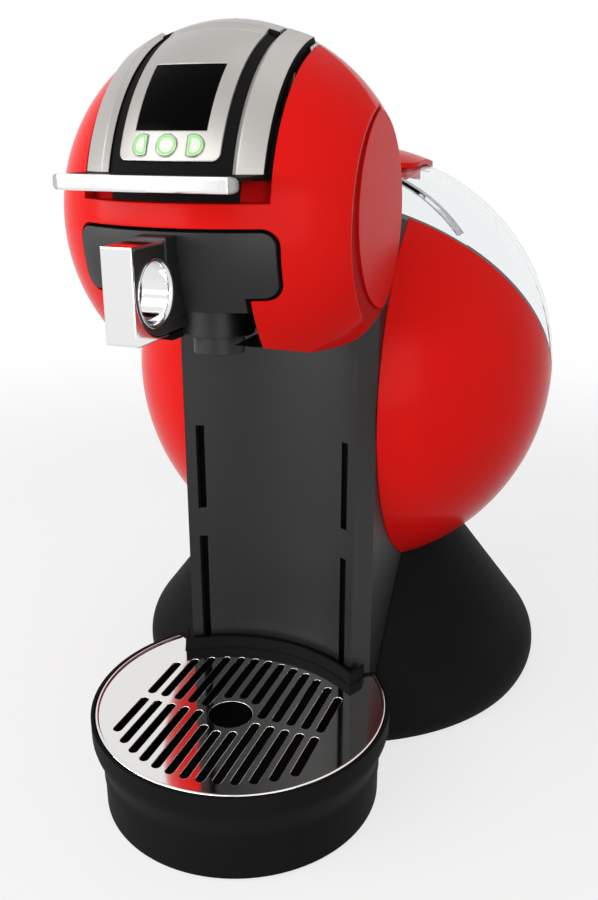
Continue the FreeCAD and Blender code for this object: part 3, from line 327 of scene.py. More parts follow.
display_glass, tree, place = start_material("acrylic_black_display")
haze = add_node(tree, "ShaderNodeTexNoise", {
    "Vector": place, "Scale": 1 / WAVE, "Detail": 2.0})
rough = add_node(tree, "ShaderNodeMapRange", {
    "Value": haze.outputs["Fac"], "To Min": 0.10, "To Max": 0.16})
shader = add_node(tree, "ShaderNodeBsdfPrincipled", {
    "Base Color": linear("#030303"), "Roughness": rough.outputs["Result"], "IOR": 1.49,
    "Specular IOR Level": 0.02})
add_node(tree, "ShaderNodeOutputMaterial", {"Surface": shader.outputs[0]})
print("made", clear_plastic.name, display_glass.name)

# %% [markdown]
# ## Inner materials
#
# The pieces inside are seldom seen, but the machine can be opened, so each has its own
# finish: rubber, silicone, circuit board, cast aluminium, plain steel and grey plastic.
# They share one recipe, a base colour with a mottle of a given size.

# %% Rubber, silicone, board, aluminium, steel and grey plastic


def mottled(name, dark, light, size, roughness, metallic=0.0, mirror=0.5):
    """Make a plain material with a soft mottle of a given size."""
    material, tree, place = start_material(name)
    mottle = add_node(tree, "ShaderNodeTexNoise", {
        "Vector": place, "Scale": 1 / size, "Detail": 3.0})
    tone = add_node(tree, "ShaderNodeValToRGB", {"Fac": mottle.outputs["Fac"]},
                    stops=[(0.3, dark), (0.7, light)])
    bump = add_node(tree, "ShaderNodeBump", {
        "Strength": 0.1, "Distance": 0.05 * MM, "Height": mottle.outputs["Fac"]})
    shader = add_node(tree, "ShaderNodeBsdfPrincipled", {
        "Base Color": tone.outputs["Color"], "Roughness": roughness, "Metallic": metallic,
        "Specular IOR Level": mirror, "Normal": bump.outputs["Normal"]})
    add_node(tree, "ShaderNodeOutputMaterial", {"Surface": shader.outputs[0]})
    return material


rubber = mottled("rubber_moulded_black", "#101010", "#181818", 1.5 * MM, 0.8)
silicone = mottled("silicone_extruded_milky", "#C6C2B8", "#D4D0C6", 4 * MM, 0.45)
board_green = mottled("circuit_board_solder_mask", "#0E4A22", "#145C2C", 2 * MM, 0.35)
aluminium = mottled("aluminium_die_cast", "#9A9B9D", "#AEAFB1", 1 * MM, 0.42, 1.0)
steel = mottled("steel_zinc_plated", "#8C8E90", "#A4A6A8", 0.8 * MM, 0.35, 1.0)
grey_plastic = mottled("polyamide_moulded_grey", "#55585A", "#606365", 0.6 * MM, 0.5)
print("made", rubber.name, silicone.name, board_green.name)
print("made", aluminium.name, steel.name, grey_plastic.name)

# %% [markdown]
# ## Dress the nodes
#
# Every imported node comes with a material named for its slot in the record, so one table
# from slot to finish dresses the whole machine. The base, the tray and the frame round the
# panel share the black slot with the column, and take the duller black.

# %% Give every node its finish
finish_of = {
    "red_gloss": red_gloss, "black_satin": black_satin, "silver_satin": silver_satin,
    "chrome": chrome, "polished_steel": polished_steel, "clear_plastic": clear_plastic,
    "display_glass": display_glass, "rubber": rubber, "silicone": silicone,
    "board_green": board_green, "aluminium": aluminium, "steel": steel,
    "grey_plastic": grey_plastic,
}
dull_nodes = ("base_skirt", "base_plate", "tray_bowl", "tray_carrier", "head_frame",
              "panel_bezel")
for name, obj in frame["nodes"].items():
    finish = finish_of[obj.data.materials[0].name]
    obj.data.materials[0] = black_dull if name in dull_nodes else finish
print("dressed", len(frame["nodes"]), "nodes,", len(dull_nodes), "in the duller black")

# %% [markdown]
# ## A way to make a piece
#
# Most of the new pieces are swept forms: one small outline repeated along a path and
# skinned. Blender could sweep a curve, but these paths lie on a ball or change width as they
# go, so each cross-section is worked out on its own and a mesh is skinned over the row.

# %% Skinning and placing


def skin(name, sections, ring):
    """Skin a row of equal cross-sections into a closed mesh."""
    shape = bmesh.new()
    rows = [[shape.verts.new(spot) for spot in section] for section in sections]
    pairs = list(zip(rows, rows[1:]))
    if ring:
        pairs.append((rows[-1], rows[0]))
    else:
        shape.faces.new(rows[0])
        shape.faces.new(rows[-1])
    for here, there in pairs:
        for i in range(len(here)):
            j = (i + 1) % len(here)
            shape.faces.new((here[i], here[j], there[j], there[i]))
    bmesh.ops.recalc_face_normals(shape, faces=shape.faces)
    mesh = bpy.data.meshes.new(name)
    shape.to_mesh(mesh)
    shape.free()
    return mesh


def place_piece(name, mesh, finish, body):
    """Show a mesh as a piece that rides on a body."""
    mesh.materials.append(finish)
    piece = bpy.data.objects.new(name, mesh)
    bpy.context.scene.collection.objects.link(piece)
    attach(piece, body)
    return piece


def from_mm(x, y, z):
    """Turn millimetres from the pouring axis into metres in the frame."""
    return Vector((x * MM, pour_y + y * MM, z * MM))


print("piece helpers ready")

# %% [markdown]
# ## Grooves in the cheeks
#
# Each cheek of the head has a crescent-shaped groove between its outer edge and a round
# field. The groove lies in shade, and that shade is painted as a deeper, duller red than
# the shell. The imported shell has one material and keeps its mesh, so the painted shade
# comes on a thin L-shaped liner along the floor and the inner wall of the groove: at every
# angle about the cheek, its outer end lies on one circle and its inner end on another that
# sits higher and further back.

# %% Red ABS with painted groove shade
PAINTED_SHADE_MOTTLE = 0.8 * MM

# Painted shade: the shadow in the cheek grooves is drawn as this darker, duller red.
groove_painted_shade = mottled(
    "ABS_red_painted_groove_shade", "#A80B09", "#B30D0B", PAINTED_SHADE_MOTTLE, 0.6, mirror=0.06)
print("made", groove_painted_shade.name)

# %% Groove liners
HEAD_BALL = (0.0, 29.6, 262.9)
CHEEK_CENTRE = HEAD_BALL[1:]
CHEEK_OUTER_R = 42.3
FIELD_SHIFT = 4.1
FIELD_R = 38.53
HEAD_EDGES = [((20.4, 269.3), 44.6), ((15.0, 264.3), 39.9)]
GROOVE_FLOOR = 56.3
GROOVE_RIM = 57.5
GROOVE_DEGREES = range(92, 356, 2)
LINER = 0.12
FLOOR_GAP = 0.04
RIM_GAP = 0.06
INNER_GAP = 0.05
OUTER_GAP = 0.1
NARROWEST = 3 * LINER


def reach(centre, radius, angle):
    """Return how far a circle lies from the cheek's centre in a direction."""
    gap_y = centre[0] - CHEEK_CENTRE[0]
    gap_z = centre[1] - CHEEK_CENTRE[1]
    ahead = gap_y * math.cos(angle) + gap_z * math.sin(angle)
    return ahead + math.sqrt(ahead ** 2 - gap_y ** 2 - gap_z ** 2 + radius ** 2)


def groove_sections(side):
    """Work out the liner's cross-sections on one cheek."""
    field = (CHEEK_CENTRE[0] + FIELD_SHIFT, CHEEK_CENTRE[1] + FIELD_SHIFT)
    low = GROOVE_FLOOR + FLOOR_GAP
    high = GROOVE_RIM - RIM_GAP
    sections = []
    for degree in GROOVE_DEGREES:
        angle = math.radians(degree)
        inner = reach(field, FIELD_R, angle) + INNER_GAP
        edges = [reach(spot, radius, angle) for spot, radius in HEAD_EDGES]
        outer = min([CHEEK_OUTER_R] + edges) - OUTER_GAP
        if outer - inner < NARROWEST:
            continue
        profile = [(low, outer), (low, inner), (high, inner), (high, inner + LINER),
                   (low + LINER, inner + LINER), (low + LINER, outer)]
        sections.append([
            from_mm(side * x, CHEEK_CENTRE[0] + r * math.cos(angle),
                    CHEEK_CENTRE[1] + r * math.sin(angle))
            for x, r in profile])
    return sections


# These liners carry the painted shade of the two cheek grooves.
for side, name in ((1, "groove_painted_shade_right"), (-1, "groove_painted_shade_left")):
    liner = skin(name, groove_sections(side), ring=False)
    place_piece(name, liner, groove_painted_shade, "machine")
    print("made", name, "with", len(liner.polygons), "faces")

# %% [markdown]
# ## Recess behind the bar
#
# The bar stands in front of a shallow recess in the head. Its middle is lined in black,
# where the frame of the control strip runs on below the panel, and its two ends carry
# painted shade, a deep dark red for the shadow in the recess. The floor of the recess is
# part of a ball, so three thin liners are skinned from side to side over that ball and
# keep an even distance from the floor.

# %% Recess liners
RECESS_R = 66.5
RECESS_LOW = 272.6
RECESS_HIGH = 280.6
RECESS_HALF = 35.2
BLACK_HALF = 24.4
RECESS_LINER = 0.4
RECESS_LIFT = 0.1
LINER_SPLIT = 0.1
RECESS_STEPS = 12


def on_ball(radius, x, z):
    """Return the front point of a ball about the head's centre, at a width and height."""
    deep = math.sqrt(radius ** 2 - x ** 2 - (z - HEAD_BALL[2]) ** 2)
    return from_mm(x, HEAD_BALL[1] - deep, z)


# Painted shade: the shadow at the two ends of the recess is drawn as this dark red.
recess_painted_shade = mottled(
    "ABS_red_painted_recess_shade", "#9C0A08", "#A80C0A", PAINTED_SHADE_MOTTLE, 0.7, mirror=0.03)
near = RECESS_R + RECESS_LIFT
far = near + RECESS_LINER
for name, start, end, finish, slot in (
        ("recess_liner_black", -BLACK_HALF, BLACK_HALF, black_dull, "black_satin"),
        ("recess_painted_shade_left", -RECESS_HALF, -BLACK_HALF - LINER_SPLIT, recess_painted_shade, "red_gloss"),
        ("recess_painted_shade_right", BLACK_HALF + LINER_SPLIT, RECESS_HALF, recess_painted_shade, "red_gloss")):
    sections = []
    for i in range(RECESS_STEPS + 1):
        x = start + (end - start) * i / RECESS_STEPS
        sections.append([on_ball(near, x, RECESS_LOW), on_ball(far, x, RECESS_LOW),
                         on_ball(far, x, RECESS_HIGH), on_ball(near, x, RECESS_HIGH)])
    place_piece(name, skin(name, sections, ring=False), finish, "machine")
    print("made", name)

# %% [markdown]
# ## Handle arms on a thin shelf
#
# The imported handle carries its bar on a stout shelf. On the real handle only a thin flange
# shows there, with the red of the recess under it. The arms could be modelled anew, but the
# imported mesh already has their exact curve. So a copy of it is welded, cut level a little
# below the top of the shelf, and closed again over the cut. Edges sharper than a set angle
# stay crisp and the rest is smooth.

# %% Handle with a thin flange
FLANGE_LOW = 280.5 * MM
CRISP = math.radians(6)
WELD = 0.001 * MM

shape = bmesh.new()
shape.from_mesh(frame["nodes"]["handle_arms"].data)
bmesh.ops.remove_doubles(shape, verts=shape.verts, dist=WELD)
everything = shape.verts[:] + shape.edges[:] + shape.faces[:]
cut = bmesh.ops.bisect_plane(
    shape, geom=everything, plane_co=(0, 0, FLANGE_LOW), plane_no=(0, 0, -1),
    clear_outer=True)
open_edges = [item for item in cut["geom_cut"] if isinstance(item, bmesh.types.BMEdge)]
bmesh.ops.triangle_fill(shape, edges=open_edges, use_beauty=True)
bmesh.ops.recalc_face_normals(shape, faces=shape.faces)
left_open = sum(1 for edge in shape.edges if len(edge.link_faces) != 2)
arms_mesh = bpy.data.meshes.new("handle_cover")
shape.to_mesh(arms_mesh)
shape.free()
arms_mesh.shade_smooth()
arms_mesh.set_sharp_from_angle(angle=CRISP)
arms = place_piece("handle_cover", arms_mesh, handle_paint, "handle")
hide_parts("handle_arms")
print("handle cover with", len(arms_mesh.polygons), "faces and", left_open, "open edges")

# %% [markdown]
# ## Chrome bar with end plugs
#
# The lock handle's bar is a chromed strip that bows forwards a little, with softly rounded
# long edges. Both ends are closed by moulded grey plugs, whose corners are rounded off. A
# box with a bevel would have straight edges, so the bar is swept from a rounded rectangle
# that follows the bow, and the plugs carry the same outline on and draw it in towards the
# tip.

# %% Outline of the bar
BAR_FRONT = -56.9
BAR_REAR = -52.1
BAR_LOW = 276.8
BAR_HIGH = 282.0
BAR_HALF = 33.35
BAR_BOW = 2.2
BAR_ROUND = 0.7
ROUND_STEPS = 4


def bar_section(x, draw_in):
    """Work out the bar's rounded outline at a width, drawn in by a distance."""
    front = BAR_FRONT + BAR_BOW * (x / BAR_HALF) ** 2 + draw_in
    low = BAR_LOW + draw_in
    high = BAR_HIGH - draw_in
    corners = ((front, low, 180), (BAR_REAR, low, 270), (BAR_REAR, high, 0), (front, high, 90))
    outline = []
    for mid_y, mid_z, start in corners:
        step_y = BAR_ROUND if mid_y == front else -BAR_ROUND
        step_z = BAR_ROUND if mid_z == low else -BAR_ROUND
        for i in range(ROUND_STEPS + 1):
            t = math.radians(start + 90 * i / ROUND_STEPS)
            outline.append(from_mm(x, mid_y + step_y + BAR_ROUND * math.cos(t),
                                   mid_z + step_z + BAR_ROUND * math.sin(t)))
    return outline


print("bar outline has", len(bar_section(0.0, 0.0)), "points")

# %% Bar and plugs
BAR_STEPS = 24
PLUG = 2.6
PLUG_GAP = 0.02
PLUG_SET_BACK = 0.05
PLUG_DRAW_IN = 1.4
PLUG_STEPS = 6

plug_grey = mottled("ABS_moulded_mid_grey", "#8A8A87", "#959592", 0.6 * MM, 0.45)
half = BAR_HALF - PLUG
sections = [bar_section(-half + 2 * half * i / BAR_STEPS, 0.0) for i in range(BAR_STEPS + 1)]
bar_mesh = skin("bar_face", sections, ring=False)
bar = place_piece("bar_face", bar_mesh, chrome, "handle")
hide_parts("handle_bar")
for side, name in ((-1, "bar_plug_left"), (1, "bar_plug_right")):
    sections = []
    for i in range(PLUG_STEPS + 1):
        turn = math.radians(90 * i / PLUG_STEPS)
        x = half + PLUG_GAP + (PLUG - PLUG_GAP) * math.sin(turn)
        draw_in = PLUG_SET_BACK + PLUG_DRAW_IN * (1 - math.cos(turn))
        sections.append(bar_section(side * x, draw_in))
    place_piece(name, skin(name, sections, ring=False), plug_grey, "handle")
print("bar and 2 plugs made,", len(bar_mesh.polygons), "faces on the bar")

# %% [markdown]
# ## Lit marks on the buttons
#
# Each of the three buttons carries a lit green outline: a ring on the middle one, and a
# half-round on either side. On such panels a clear plastic light guide comes up through
# the cap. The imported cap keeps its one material, so each outline is a flat band that lies
# on the domed cap and moves with it.

# %% Green light guide
GLOW = 2 * MM

mark_green, tree, place = start_material("polycarbonate_light_guide_green")
glow = add_node(tree, "ShaderNodeTexNoise", {
    "Vector": place, "Scale": 1 / GLOW, "Detail": 1.0})
tone = add_node(tree, "ShaderNodeValToRGB", {"Fac": glow.outputs["Fac"]},
                stops=[(0.3, "#63CC50"), (0.7, "#78D866")])
shader = add_node(tree, "ShaderNodeBsdfPrincipled", {
    "Base Color": tone.outputs["Color"], "Roughness": 0.35,
    "Emission Color": linear("#5FDC4C"), "Emission Strength": 0.3})
add_node(tree, "ShaderNodeOutputMaterial", {"Surface": shader.outputs[0]})
print("made", mark_green.name)

# %% Loops round a button
MARK_R = 3.3
MARK_FLAT = 1.6
RING_POINTS = 72
ARC_STEPS = 40
CORNER_STEPS = 8
FLAT_STEPS = 10


def mark_outline(flat_side, inset, corner):
    """Draw one loop of a button's mark, moved inwards by an inset."""
    radius = MARK_R - inset
    if flat_side == 0:
        turns = [math.radians(360 * i / RING_POINTS) for i in range(RING_POINTS)]
        return [(radius * math.cos(t), radius * math.sin(t)) for t in turns]
    core_r = radius - corner
    core_x = MARK_FLAT - inset - corner
    tilt = math.acos(core_x / core_r)
    core_y = core_r * math.sin(tilt)
    loop = []
    for i in range(CORNER_STEPS + 1):
        t = tilt * i / CORNER_STEPS
        loop.append((core_x + corner * math.cos(t), core_y + corner * math.sin(t)))
    for i in range(1, ARC_STEPS):
        t = tilt + (2 * math.pi - 2 * tilt) * i / ARC_STEPS
        loop.append((radius * math.cos(t), radius * math.sin(t)))
    for i in range(CORNER_STEPS + 1):
        t = -tilt + tilt * i / CORNER_STEPS
        loop.append((core_x + corner * math.cos(t), -core_y + corner * math.sin(t)))
    for i in range(1, FLAT_STEPS):
        loop.append((core_x + corner, -core_y + 2 * core_y * i / FLAT_STEPS))
    return [(flat_side * x, y) for x, y in loop]


print("a half-round loop has", len(mark_outline(1, 0.0, 0.5)), "points")

# %% Bands on the caps
HEAD_R = 72.0
CAP_R = 71.5
BUTTON_Z = 291.0
BUTTON_X = 9.6
BUTTONS = (("left_button", -BUTTON_X, 1), ("ok_button", 0.0, 0), ("right_button", BUTTON_X, -1))
MARK_CORNER = 0.5
MARK_CORNER_IN = 0.15
BAND = 0.75
BAND_T = 0.12
BAND_UP = 0.06


def band_sections(x, far_loop, near_loop, low, high):
    """Lay a band between two loops round a button, from one ball about the head to another."""
    rise = BUTTON_Z - HEAD_BALL[2]
    out = Vector((x, -math.sqrt(HEAD_R ** 2 - x ** 2 - rise ** 2), rise)).normalized()
    across = (Vector((1, 0, 0)) - out * out.x).normalized()
    upward = across.cross(out)
    upward = upward if upward.z > 0 else -upward
    sections = []
    for far, near in zip(far_loop, near_loop):
        section = []
        for (a, b), radius in ((far, low), (far, high), (near, high), (near, low)):
            way = (out * CAP_R + across * a + upward * b).normalized()
            section.append(from_mm(*(Vector(HEAD_BALL) + way * radius)))
        sections.append(section)
    return sections


for body, x, flat_side in BUTTONS:
    name = body + "_mark"
    far_loop = mark_outline(flat_side, 0.0, MARK_CORNER)
    near_loop = mark_outline(flat_side, BAND, MARK_CORNER_IN)
    sections = band_sections(x, far_loop, near_loop, CAP_R - BAND_T, CAP_R + BAND_UP)
    place_piece(name, skin(name, sections, ring=True), mark_green, body)
    print("made", name)

# %% [markdown]
# Each cap slides in a hole with room to spare, which hardly shows on the real panel. Here a
# thin silver collar closes it: a second band, from the same two functions. It stays on the
# panel, clear of the cap, so the cap still sinks when it is pressed.

# %% Button collars
COLLAR_IN = 0.5
COLLAR_OUT = 0.78
COLLAR_TOP = 71.22
COLLAR_T = 0.4
SHARP = 0.02

for body, x, flat_side in BUTTONS:
    name = body + "_collar"
    far_loop = mark_outline(flat_side, -COLLAR_OUT, SHARP)
    near_loop = mark_outline(flat_side, -COLLAR_IN, SHARP)
    sections = band_sections(x, far_loop, near_loop, COLLAR_TOP - COLLAR_T, COLLAR_TOP)
    place_piece(name, skin(name, sections, ring=True), silver_satin, "machine")
    print("made", name)

# %% [markdown]
# ## Ramp behind the panel
#
# Behind the panel the silver carries on over the top of the head. The panel lies a little
# lower than the strip behind it, so a slim ramp brings the one up to the other and keeps the
# silver in one sweep. Beside it the black frame of the panel runs up to the same strip, and
# a short black stop on either side closes it. All three are skinned from side to side over
# the curve of the head, because a straight bar would stand off it in the middle.

# %% Silver ramp and black stops
RAMP_HALF = 18.8
RAMP_PROFILE = [(4.3, 71.1), (4.3, 71.22), (6.3, 71.6), (8.3, 71.98), (8.3, 71.1)]
STOP_START = 19.0
STOP_END = 23.1
STOP_PROFILE = [(7.6, 70.8), (7.6, 71.9), (8.3, 72.03), (8.3, 70.8)]
TOP_STEPS = 32


def on_top(radius, x, y):
    """Return the top point of a ball about the head's centre, at a width and a depth."""
    high = math.sqrt(radius ** 2 - x ** 2 - (y - HEAD_BALL[1]) ** 2)
    return from_mm(x, y, HEAD_BALL[2] + high)


def across_top(name, start, end, profile, finish):
    """Skin a profile of depths and ball radii from side to side over the top of the head."""
    sections = []
    for i in range(TOP_STEPS + 1):
        x = start + (end - start) * i / TOP_STEPS
        sections.append([on_top(radius, x, y) for y, radius in profile])
    place_piece(name, skin(name, sections, ring=False), finish, "machine")
    print("made", name)


across_top("panel_ramp", -RAMP_HALF, RAMP_HALF, RAMP_PROFILE, silver_satin)
across_top("frame_stop_left", -STOP_END, -STOP_START, STOP_PROFILE, black_dull)
across_top("frame_stop_right", STOP_START, STOP_END, STOP_PROFILE, black_dull)

# %% [markdown]
# ## Frosted rib in the tank
#
# Where the tank's leaning front wall meets the ball, a soft grey arc shows through the
# clear wall. It is taken for a moulded rib with a rough surface, which stiffens the corner.
# It runs inside the ball wall, just behind the front wall, over the top from one side to
# the other. The plane of the front wall cuts the ball in a circle, so the rib is skinned
# along circles that lie a little behind that plane.

# %% Grey arc inside the tank
TANK_BALL = (0.0, 159.5, 173.3)
TANK_INSIDE_R = 109.4
FRONT_WALL = (0.0, 122.0, 268.0)
FRONT_WALL_LEAN = math.radians(19.2)
RIB_NEAR = 2.6
RIB_FAR = 5.8
RIB_T = 0.5
RIB_DEGREES = range(40, 141, 2)

frosted = mottled("SAN_frosted_rib", "#A4A4AB", "#B2B2B8", 1 * MM, 0.6)
wall_way = Vector((0, math.cos(FRONT_WALL_LEAN), -math.sin(FRONT_WALL_LEAN)))
wall_up = Vector((0, math.sin(FRONT_WALL_LEAN), math.cos(FRONT_WALL_LEAN)))
wall_gap = (Vector(TANK_BALL) - Vector(FRONT_WALL)).dot(wall_way)
rib_profile = [(TANK_INSIDE_R, RIB_NEAR), (TANK_INSIDE_R, RIB_FAR),
               (TANK_INSIDE_R - RIB_T, RIB_FAR), (TANK_INSIDE_R - RIB_T, RIB_NEAR)]
sections = []
for degree in RIB_DEGREES:
    t = math.radians(degree)
    around = Vector((math.cos(t), 0, 0)) + wall_up * math.sin(t)
    section = []
    for radius, deep in rib_profile:
        back = wall_gap - deep
        middle = Vector(TANK_BALL) - wall_way * back
        section.append(from_mm(*(middle + around * math.sqrt(radius ** 2 - back ** 2))))
    sections.append(section)
rib = skin("tank_rib", sections, ring=False)
place_piece("tank_rib", rib, frosted, "tank")
print("rib with", len(rib.polygons), "faces")

# %% [markdown]
# ## Slotted drip plate
#
# The drip plate is pressed from polished sheet. What the eye catches is not the flat but
# the edge: the press rolls every slot and the rim over a little, and each rolled edge draws
# a thin bright line. Cutting slots from a disc would leave sharp edges to bevel one by one.
# A flat curve with the slots as inner loops, given a thickness and a round edge, makes them
# all at once. The back of the plate follows the hollow front of the column, with a small
# horn on either side.

# %% Outline of the plate
PLATE_R = 66.65
PLATE_Y = 12.4
SCOOP_R = 69.0
SCOOP_Y = -13.0
HORN = [(43.6, 40.4), (48.7, 51.2), (52.7, 53.2)]
RIM_STEPS = 160
SCOOP_STEPS = 48


def arc(centre_y, radius, start, end, count):
    """Return points along an arc about the middle line, from one angle to another."""
    turns = [start + (end - start) * i / count for i in range(count + 1)]
    return [(radius * math.cos(t), centre_y + radius * math.sin(t)) for t in turns]


notch, shoulder, tip = HORN
tip_angle = math.atan2(tip[1] - PLATE_Y, tip[0])
notch_angle = math.atan2(notch[1] - SCOOP_Y, notch[0])
rim_start = math.pi - tip_angle
rim_end = 2 * math.pi + tip_angle
rim = arc(PLATE_Y, PLATE_R, rim_start, rim_end, RIM_STEPS)
back = arc(SCOOP_Y, SCOOP_R, notch_angle, math.pi - notch_angle, SCOOP_STEPS)
loops = [rim + [shoulder] + back + [(-shoulder[0], shoulder[1])]]
print("plate outline has", len(loops[0]), "points")

# %% Drip hole and slots
SLOT_HALF = 2.0
SLOT_PITCH = 7.0
SLOT_SIDE = 6
SLOT_MARGIN = 7.5
SLOT_REAR = 9.0
BRIDGE_HALF = 1.8
DRIP_R = 10.0
DRIP_RING_R = 13.0
HOLE_POINTS = 64
END_STEPS = 12

last_turn = 2 * math.pi * (HOLE_POINTS - 1) / HOLE_POINTS
loops.append(arc(0.0, DRIP_R, 0, last_turn, HOLE_POINTS - 1))
for i in range(-SLOT_SIDE, SLOT_SIDE + 1):
    x = i * SLOT_PITCH
    front = PLATE_Y - math.sqrt((PLATE_R - SLOT_MARGIN) ** 2 - x ** 2)
    rear = SCOOP_Y + math.sqrt((SCOOP_R - SLOT_REAR) ** 2 - x ** 2)
    hub = max(BRIDGE_HALF, math.sqrt(max(DRIP_RING_R ** 2 - x ** 2, 0.0)))
    for low, high in ((front, -hub), (hub, rear)):
        if high - low > 2 * SLOT_HALF:
            head_end = arc(high - SLOT_HALF, SLOT_HALF, 0, math.pi, END_STEPS)
            foot_end = arc(low + SLOT_HALF, SLOT_HALF, math.pi, 2 * math.pi, END_STEPS)
            loops.append([(x + a, b) for a, b in head_end + foot_end])
print("drew", len(loops) - 2, "slots")

# %% Drip plate from one flat curve
PLATE_TOP = 45.1
PLATE_T = 1.6
ROLL = 0.2
ROLL_STEPS = 3

sheet = bpy.data.curves.new("drip_plate_outline", "CURVE")
sheet.dimensions = "2D"
sheet.fill_mode = "BOTH"
sheet.bevel_depth = ROLL * MM
sheet.bevel_resolution = ROLL_STEPS
sheet.offset = -ROLL * MM
sheet.extrude = (PLATE_T / 2 - ROLL) * MM
for loop in loops:
    spline = sheet.splines.new("POLY")
    spline.points.add(len(loop) - 1)
    for point, (x, y) in zip(spline.points, loop):
        point.co = (x * MM, pour_y + y * MM, 0, 1)
    spline.use_cyclic_u = True
drawn = bpy.data.objects.new("drip_plate_outline", sheet)
bpy.context.scene.collection.objects.link(drawn)
solid = drawn.evaluated_get(bpy.context.evaluated_depsgraph_get())
pressed = bpy.data.meshes.new_from_object(solid)
bpy.data.objects.remove(drawn)
for vertex in pressed.vertices:
    vertex.co.z += (PLATE_TOP - PLATE_T / 2) * MM
pressed.name = "drip_plate"
pressed.materials.clear()
plate = place_piece("drip_plate", pressed, polished_steel, "grid")
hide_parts("drip_grid")
print("drip plate with", len(pressed.polygons), "faces")

# %% [markdown]
# The plate's outer edge is curled up into a small bead, which stiffens it and draws the
# bright line all round the tray. A round edge on the flat curve would be as small as the
# one on the slots, so the bead is a thin round bar of its own, swept along the rim.

# %% Curled rim
BEAD_R = 0.85
BEAD_POINTS = 12

turns = [math.radians(360 * i / BEAD_POINTS) for i in range(BEAD_POINTS)]
sections = []
for x, y in arc(PLATE_Y, PLATE_R - BEAD_R, rim_start, rim_end, RIM_STEPS):
    out = Vector((x, y - PLATE_Y)).normalized()
    sections.append([
        from_mm(x + out.x * BEAD_R * math.cos(t), y + out.y * BEAD_R * math.cos(t),
                PLATE_TOP + BEAD_R * math.sin(t))
        for t in turns])
bead = skin("drip_plate_bead", sections, ring=False)
bead.shade_smooth()
place_piece("drip_plate_bead", bead, polished_steel, "grid")
print("bead with", len(bead.polygons), "faces")

# %% [markdown]
# ## White studio
#
# The machine stands in a white studio. The world shows plain white to the camera, in
# reflections and through the clear tank, and lights the machine with less than half of
# that, so that the shaded sides keep their depth.

# %% White world
AMBIENT = 0.4


def seen_as_background(tree):
    """Return 1 for rays from the camera, off a mirror or through a clear wall, else 0."""
    ray = add_node(tree, "ShaderNodeLightPath")
    seen = add_node(tree, "ShaderNodeMath", {
        0: ray.outputs["Is Camera Ray"], 1: ray.outputs["Is Glossy Ray"]},
        operation="MAXIMUM")
    seen = add_node(tree, "ShaderNodeMath", {
        0: seen.outputs[0], 1: ray.outputs["Is Transmission Ray"]}, operation="MAXIMUM")
    return seen.outputs[0]


world = bpy.data.worlds.new("white_studio")
bpy.context.scene.world = world
world.use_nodes = True
tree = world.node_tree
tree.nodes.clear()
soft = add_node(tree, "ShaderNodeBackground", {
    "Color": linear("#FFFFFF"), "Strength": AMBIENT})
plain = add_node(tree, "ShaderNodeBackground", {"Color": linear("#FFFFFF"), "Strength": 1.0})
mixed = add_node(tree, "ShaderNodeMixShader", {
    "Fac": seen_as_background(tree), 1: soft.outputs[0], 2: plain.outputs[0]})
add_node(tree, "ShaderNodeOutputWorld", {"Surface": mixed.outputs[0]})
print("world light", AMBIENT)

# %% [markdown]
# The floor is pale and keeps the machine's shadow. It glows only for the rays that would
# see the background, so it throws no light on the machine, and it turns clear with
# distance, so that no horizon cuts the picture.

# %% Pale floor that fades out
FLOOR_SIZE = 6.0
FLOOR_GLOW = 0.72
FADE_NEAR = 0.35
FADE_FAR = 0.9

floor_white, tree, place = start_material("studio_floor_white")
matt = add_node(tree, "ShaderNodeBsdfDiffuse", {"Color": linear("#EDEDED")})
glow = add_node(tree, "ShaderNodeEmission", {
    "Color": linear("#FFFFFF"), "Strength": seen_as_background(tree)})
pale = add_node(tree, "ShaderNodeMixShader", {
    "Fac": FLOOR_GLOW, 1: matt.outputs[0], 2: glow.outputs[0]})
away = add_node(tree, "ShaderNodeVectorMath", {0: place}, operation="LENGTH")
fade = add_node(tree, "ShaderNodeMapRange", {
    "Value": away.outputs["Value"], "From Min": FADE_NEAR, "From Max": FADE_FAR},
    interpolation_type="SMOOTHSTEP")
clear = add_node(tree, "ShaderNodeBsdfTransparent")
fading = add_node(tree, "ShaderNodeMixShader", {
    "Fac": fade.outputs["Result"], 1: pale.outputs[0], 2: clear.outputs[0]})
add_node(tree, "ShaderNodeOutputMaterial", {"Surface": fading.outputs[0]})

mesh = bpy.data.meshes.new("studio_floor")
half = FLOOR_SIZE / 2
corners = [(-half, -half, 0), (half, -half, 0), (half, half, 0), (-half, half, 0)]
mesh.from_pydata(corners, [], [(0, 1, 2, 3)])
floor = bpy.data.objects.new("studio_floor", mesh)
bpy.context.scene.collection.objects.link(floor)
mesh.materials.append(floor_white)
print("floor fades from", FADE_NEAR, "to", FADE_FAR, "m")

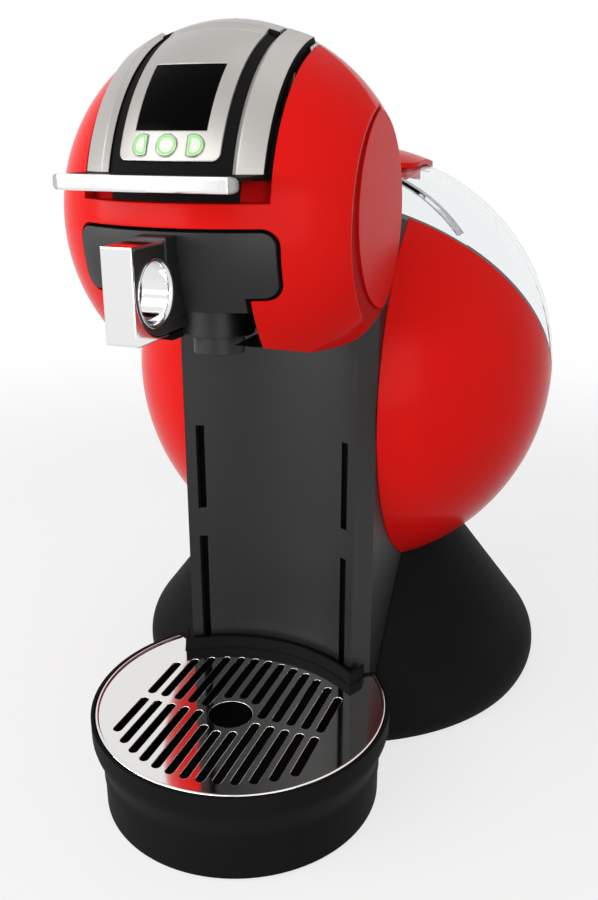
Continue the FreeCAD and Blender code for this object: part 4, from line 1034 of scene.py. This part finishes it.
# %% [markdown]
# Four soft boxes light the machine. A long, low strip on the front left is the main light.
# A wide box high in front lights the top of the head, a low one on the right fills the side
# of the rear ball, and a weak one overhead fills the top. Area lights are used because a
# glossy shell mirrors the shape of its lamps, and a point would show as a hard spot.

# %% Soft boxes


def soft_box(name, spot, target, size, power):
    """Place an area light that faces a target."""
    data = bpy.data.lights.new(name, "AREA")
    data.shape = "RECTANGLE"
    data.size, data.size_y = size
    data.energy = power
    lamp = bpy.data.objects.new(name, data)
    lamp.location = spot
    lamp.rotation_euler = (Vector(target) - Vector(spot)).to_track_quat("-Z", "Y").to_euler()
    bpy.context.scene.collection.objects.link(lamp)
    print("lit", name, "with", power, "W")


machine_spot = (cad_low + cad_high) / 2
head_spot = from_mm(*HEAD_BALL)
soft_box("key_strip_left", (-1.15, -1.25, 0.36), head_spot, (2.0, 0.28), 20)
soft_box("front_high", (-0.51, -1.17, 1.14), head_spot, (1.9, 0.6), 9)
soft_box("fill_low_right", (1.0, -1.3, 0.35), machine_spot, (1.2, 0.9), 11)
soft_box("overhead", (0.3, 0.4, 1.7), machine_spot, (1.2, 1.2), 1.5)

# %% [markdown]
# ## Camera
#
# The camera stands close, to the right of the front, and looks down on the tray. Its place
# and turn come from the perspective of the round drip plate and the column. The focal
# length is known as a share of the picture's height, so it becomes a lens by way of the
# sensor's size.

# %% Camera
CAMERA_YAW = 20.8
CAMERA_PITCH = 19.4
CAMERA_SPOT = (155.6 * MM, pour_y - 322.0 * MM, 297.4 * MM)
FOCAL_PIXELS = 927
PICTURE_PIXELS = 900
SENSOR = 36.0

camera_data = bpy.data.cameras.new("photo_camera")
camera_data.sensor_width = SENSOR
camera_data.lens = SENSOR * (FOCAL_PIXELS / PICTURE_PIXELS)
camera = bpy.data.objects.new("photo_camera", camera_data)
camera.location = CAMERA_SPOT
camera.rotation_euler = (math.radians(90 - CAMERA_PITCH), 0, math.radians(CAMERA_YAW))
bpy.context.scene.collection.objects.link(camera)
bpy.context.scene.camera = camera
bpy.context.scene.view_settings.view_transform = "Standard"
print("camera lens", round(camera_data.lens, 2), "mm")
